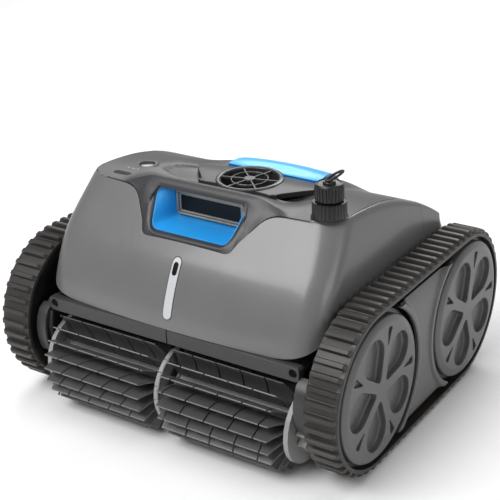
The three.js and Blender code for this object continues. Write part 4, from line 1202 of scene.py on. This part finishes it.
def make_stage():
    """Pale floor, soft light all round with area lights, and the camera."""
    scene = bpy.context.scene
    world = bpy.data.worlds.new("soft_studio")
    world.use_nodes = True
    tree = world.node_tree
    place = add_node(tree, "ShaderNodeTexCoord").outputs["Generated"]
    height = add_node(tree, "ShaderNodeSeparateXYZ", {"Vector": place}).outputs["Z"]
    sky = ramp(tree, add_node(tree, "ShaderNodeMapRange", {"Value": height, "From Min": -1.0}).outputs[0],
               [(0.45, linear("#f2f2f2")), (0.62, linear("#c9cacc")), (0.95, linear("#ffffff"))])
    tree.links.new(sky.outputs["Color"], tree.nodes["Background"].inputs["Color"])
    tree.nodes["Background"].inputs["Strength"].default_value = 0.42
    scene.world = world

    paper, tree, shader = material("matt_white_paper", {"Base Color": linear("#f4f4f4"), "Roughness": 0.9})
    place = add_node(tree, "ShaderNodeTexCoord").outputs["Object"]
    noise = add_node(tree, "ShaderNodeTexNoise", {"Vector": place, "Scale": 6.0, "Detail": 2.0})
    shade = ramp(tree, noise.outputs["Fac"], [(0.3, linear("#f2f2f2")), (0.7, linear("#f7f7f7"))])
    tree.links.new(shade.outputs["Color"], shader.inputs["Base Color"])
    corners = np.array([[-9000, -9000, 0], [9000, -9000, 0], [9000, 9000, 0], [-9000, 9000, 0]], float)
    mesh = bpy.data.meshes.new("floor")
    mesh.from_pydata((corners * MM).tolist(), [], [(0, 1, 2, 3)])
    mesh.materials.append(paper)
    floor = bpy.data.objects.new("floor", mesh)
    scene.collection.objects.link(floor)

    for name, place, size, power in (
        ("key", (-500, -1500, 1900), (1600, 1200), 44),
        ("right_fill", (2300, -300, 900), (1200, 900), 9),
        ("back", (-900, 2000, 1700), (2000, 900), 32),
        ("top", (0, 0, 2300), (1500, 1500), 11),
    ):
        lamp = bpy.data.lights.new(name, "AREA")
        lamp.shape, lamp.size, lamp.size_y, lamp.energy = "RECTANGLE", size[0] * MM, size[1] * MM, power
        light = bpy.data.objects.new(name, lamp)
        scene.collection.objects.link(light)
        aim(light, place, (0, 0, 120))

    look = scene.cleaner_stage
    yaw, pitch, roll = look.angles
    back = np.array([math.sin(yaw) * math.cos(pitch), -math.cos(yaw) * math.cos(pitch), math.sin(pitch)])
    right = np.array([math.cos(yaw), math.sin(yaw), 0])
    up = np.cross(back, right)
    across = math.cos(roll) * right + math.sin(roll) * up
    along = math.cos(roll) * up - math.sin(roll) * right
    lens = bpy.data.cameras.new("camera")
    lens.lens, lens.sensor_width, lens.clip_end = look.lens, 36, 50
    camera = bpy.data.objects.new("camera", lens)
    scene.collection.objects.link(camera)
    axes = np.stack([across, along, back, np.array(look.eye)], axis=1)
    camera.matrix_world = Matrix([*axes.tolist(), [0, 0, 0, 1]])
    scene.camera = camera
    scene.view_settings.view_transform = "Standard"


# ---------- properties ----------
class CleanerSizes(bpy.types.PropertyGroup):
    """Sizes that a user may change."""

    wall: FloatProperty(name="Shell wall", description="Thickness of the hull shells", subtype="DISTANCE",
                        unit="LENGTH", default=2.6 * MM)
    lugs: IntProperty(name="Lugs", description="Lugs round each track belt", default=70)
    lug_height: FloatProperty(name="Lug height", description="Height of the lugs above the belt",
                              subtype="DISTANCE", unit="LENGTH", default=4.9 * MM)
    brush_rows: IntProperty(name="Brush rows", description="Rows of blades round each brush", default=22)
    brush_radius: FloatProperty(name="Brush radius", subtype="DISTANCE", unit="LENGTH",
                                description="Distance from the brush axis to the blade tips",
                                default=BRUSH_TIP_R * MM)


def hex_colour(code):
    """Default of a colour property: linear RGB of a hex code."""
    return linear(code)[:3]


class CleanerFinish(bpy.types.PropertyGroup):
    """Main colours of the cleaner."""

    shell: FloatVectorProperty(name="Shell", description="Lacquer of the hull shells", subtype="COLOR",
                               min=0, max=1, default=hex_colour("#646465"))
    deck: FloatVectorProperty(name="Deck", description="Plastic of the top deck", subtype="COLOR",
                              min=0, max=1, default=hex_colour("#313133"))
    cover: FloatVectorProperty(name="Covers", description="Plastic of the wheel covers and fairings",
                               subtype="COLOR", min=0, max=1, default=hex_colour("#525253"))
    tray: FloatVectorProperty(name="Tray", description="Plastic of the hand tray", subtype="COLOR",
                              min=0, max=1, default=hex_colour("#2496e0"))
    lid: FloatVectorProperty(name="Lid", description="Plastic of the rear lid", subtype="COLOR",
                             min=0, max=1, default=hex_colour("#36b2fb"))
    rubber: FloatVectorProperty(name="Belts", description="Rubber of the track belts", subtype="COLOR",
                                min=0, max=1, default=hex_colour("#2e2b28"))


class CleanerStage(bpy.types.PropertyGroup):
    """Where the camera stands and how it looks."""

    eye: FloatVectorProperty(name="Eye", description="Place of the camera", subtype="TRANSLATION",
                             unit="LENGTH", default=(0.689, -1.0189, 0.7093))
    angles: FloatVectorProperty(name="Angles", description="Yaw, pitch and roll of the camera",
                                subtype="EULER", unit="ROTATION",
                                default=(math.radians(34.284), math.radians(24.406), math.radians(-2.038)))
    lens: FloatProperty(name="Lens", description="Focal length on a 36 mm sensor", subtype="DISTANCE_CAMERA",
                        unit="CAMERA", default=89.58)


# ---------- operators and panel ----------
class CLEANER_OT_finishes(bpy.types.Operator):
    """Make every finish and put it on the pieces of the frame that keep their shape"""

    bl_idname = "cleaner.finishes"
    bl_label = "Finishes"

    def execute(self, context):
        MATERIALS.update(make_materials())
        finish_carried()
        return {"FINISHED"}


class CLEANER_OT_shells(bpy.types.Operator):
    """Make the main shell and the rear shell"""

    bl_idname = "cleaner.shells"
    bl_label = "Hull shells"

    def execute(self, context):
        make_shells()
        return {"FINISHED"}


class CLEANER_OT_deck(bpy.types.Operator):
    """Make the top deck with its window frame and hinge ears"""

    bl_idname = "cleaner.deck"
    bl_label = "Top deck"

    def execute(self, context):
        make_deck()
        return {"FINISHED"}


class CLEANER_OT_housing(bpy.types.Operator):
    """Make the raised pump housing and the outlet guard"""

    bl_idname = "cleaner.housing"
    bl_label = "Pump housing"

    def execute(self, context):
        make_housing()
        return {"FINISHED"}


class CLEANER_OT_lid(bpy.types.Operator):
    """Make the rear lid over the filter"""

    bl_idname = "cleaner.lid"
    bl_label = "Rear lid"

    def execute(self, context):
        make_lid()
        return {"FINISHED"}


class CLEANER_OT_tray(bpy.types.Operator):
    """Make the hand tray and the sight window's frame"""

    bl_idname = "cleaner.tray"
    bl_label = "Hand tray"

    def execute(self, context):
        make_tray()
        make_sight()
        return {"FINISHED"}


class CLEANER_OT_controls(bpy.types.Operator):
    """Make the status light and the controls on the left lobe"""

    bl_idname = "cleaner.controls"
    bl_label = "Light and controls"

    def execute(self, context):
        make_light()
        make_controls()
        return {"FINISHED"}


class CLEANER_OT_connector(bpy.types.Operator):
    """Make the float line connector"""

    bl_idname = "cleaner.connector"
    bl_label = "Connector"

    def execute(self, context):
        make_connector()
        return {"FINISHED"}


class CLEANER_OT_tracks(bpy.types.Operator):
    """Make the track belts, the wheel covers and the fairings between them"""

    bl_idname = "cleaner.tracks"
    bl_label = "Tracks"

    def execute(self, context):
        make_belts()
        make_covers()
        make_fairings()
        return {"FINISHED"}


class CLEANER_OT_brushes(bpy.types.Operator):
    """Make the roller brushes and their discs"""

    bl_idname = "cleaner.brushes"
    bl_label = "Brushes"

    def execute(self, context):
        make_brushes()
        return {"FINISHED"}


class CLEANER_OT_bars(bpy.types.Operator):
    """Make the bumper bars and the brush guards"""

    bl_idname = "cleaner.bars"
    bl_label = "Bumper bars"

    def execute(self, context):
        make_bars()
        make_guards()
        return {"FINISHED"}


class CLEANER_OT_stage(bpy.types.Operator):
    """Make the floor, the lights and the camera"""

    bl_idname = "cleaner.stage"
    bl_label = "Stage"

    def execute(self, context):
        make_stage()
        return {"FINISHED"}


OPERATORS = (
    CLEANER_OT_stage, CLEANER_OT_finishes, CLEANER_OT_shells, CLEANER_OT_deck, CLEANER_OT_housing,
    CLEANER_OT_lid, CLEANER_OT_tray, CLEANER_OT_controls, CLEANER_OT_connector, CLEANER_OT_tracks,
    CLEANER_OT_brushes, CLEANER_OT_bars,
)


class CLEANER_PT_parts(bpy.types.Panel):
    """Lists the sizes, colours and steps"""

    bl_idname = "CLEANER_PT_parts"
    bl_label = "Pool cleaner"
    bl_space_type = "VIEW_3D"
    bl_region_type = "UI"
    bl_category = "Pool cleaner"

    def draw(self, context):
        scene = context.scene
        for title, group in (("Sizes", scene.cleaner_sizes), ("Colours", scene.cleaner_finish),
                             ("Camera", scene.cleaner_stage)):
            box = self.layout.box()
            box.label(text=title)
            for name in group.bl_rna.properties.keys():
                if name not in {"rna_type", "name"}:
                    box.prop(group, name)
        column = self.layout.column()
        for operator in OPERATORS:
            column.operator(operator.bl_idname)


GROUPS = {"cleaner_sizes": CleanerSizes, "cleaner_finish": CleanerFinish, "cleaner_stage": CleanerStage}


def register():
    for kind in (*GROUPS.values(), *OPERATORS, CLEANER_PT_parts):
        bpy.utils.register_class(kind)
    for name, kind in GROUPS.items():
        setattr(bpy.types.Scene, name, PointerProperty(type=kind))


def unregister():
    for name in GROUPS:
        delattr(bpy.types.Scene, name)
    for kind in reversed((*GROUPS.values(), *OPERATORS, CLEANER_PT_parts)):
        bpy.utils.unregister_class(kind)


def main():
    register()
    for operator in OPERATORS:
        group, name = operator.bl_idname.split(".")
        getattr(getattr(bpy.ops, group), name)()


if __name__ == "__main__":
    main()
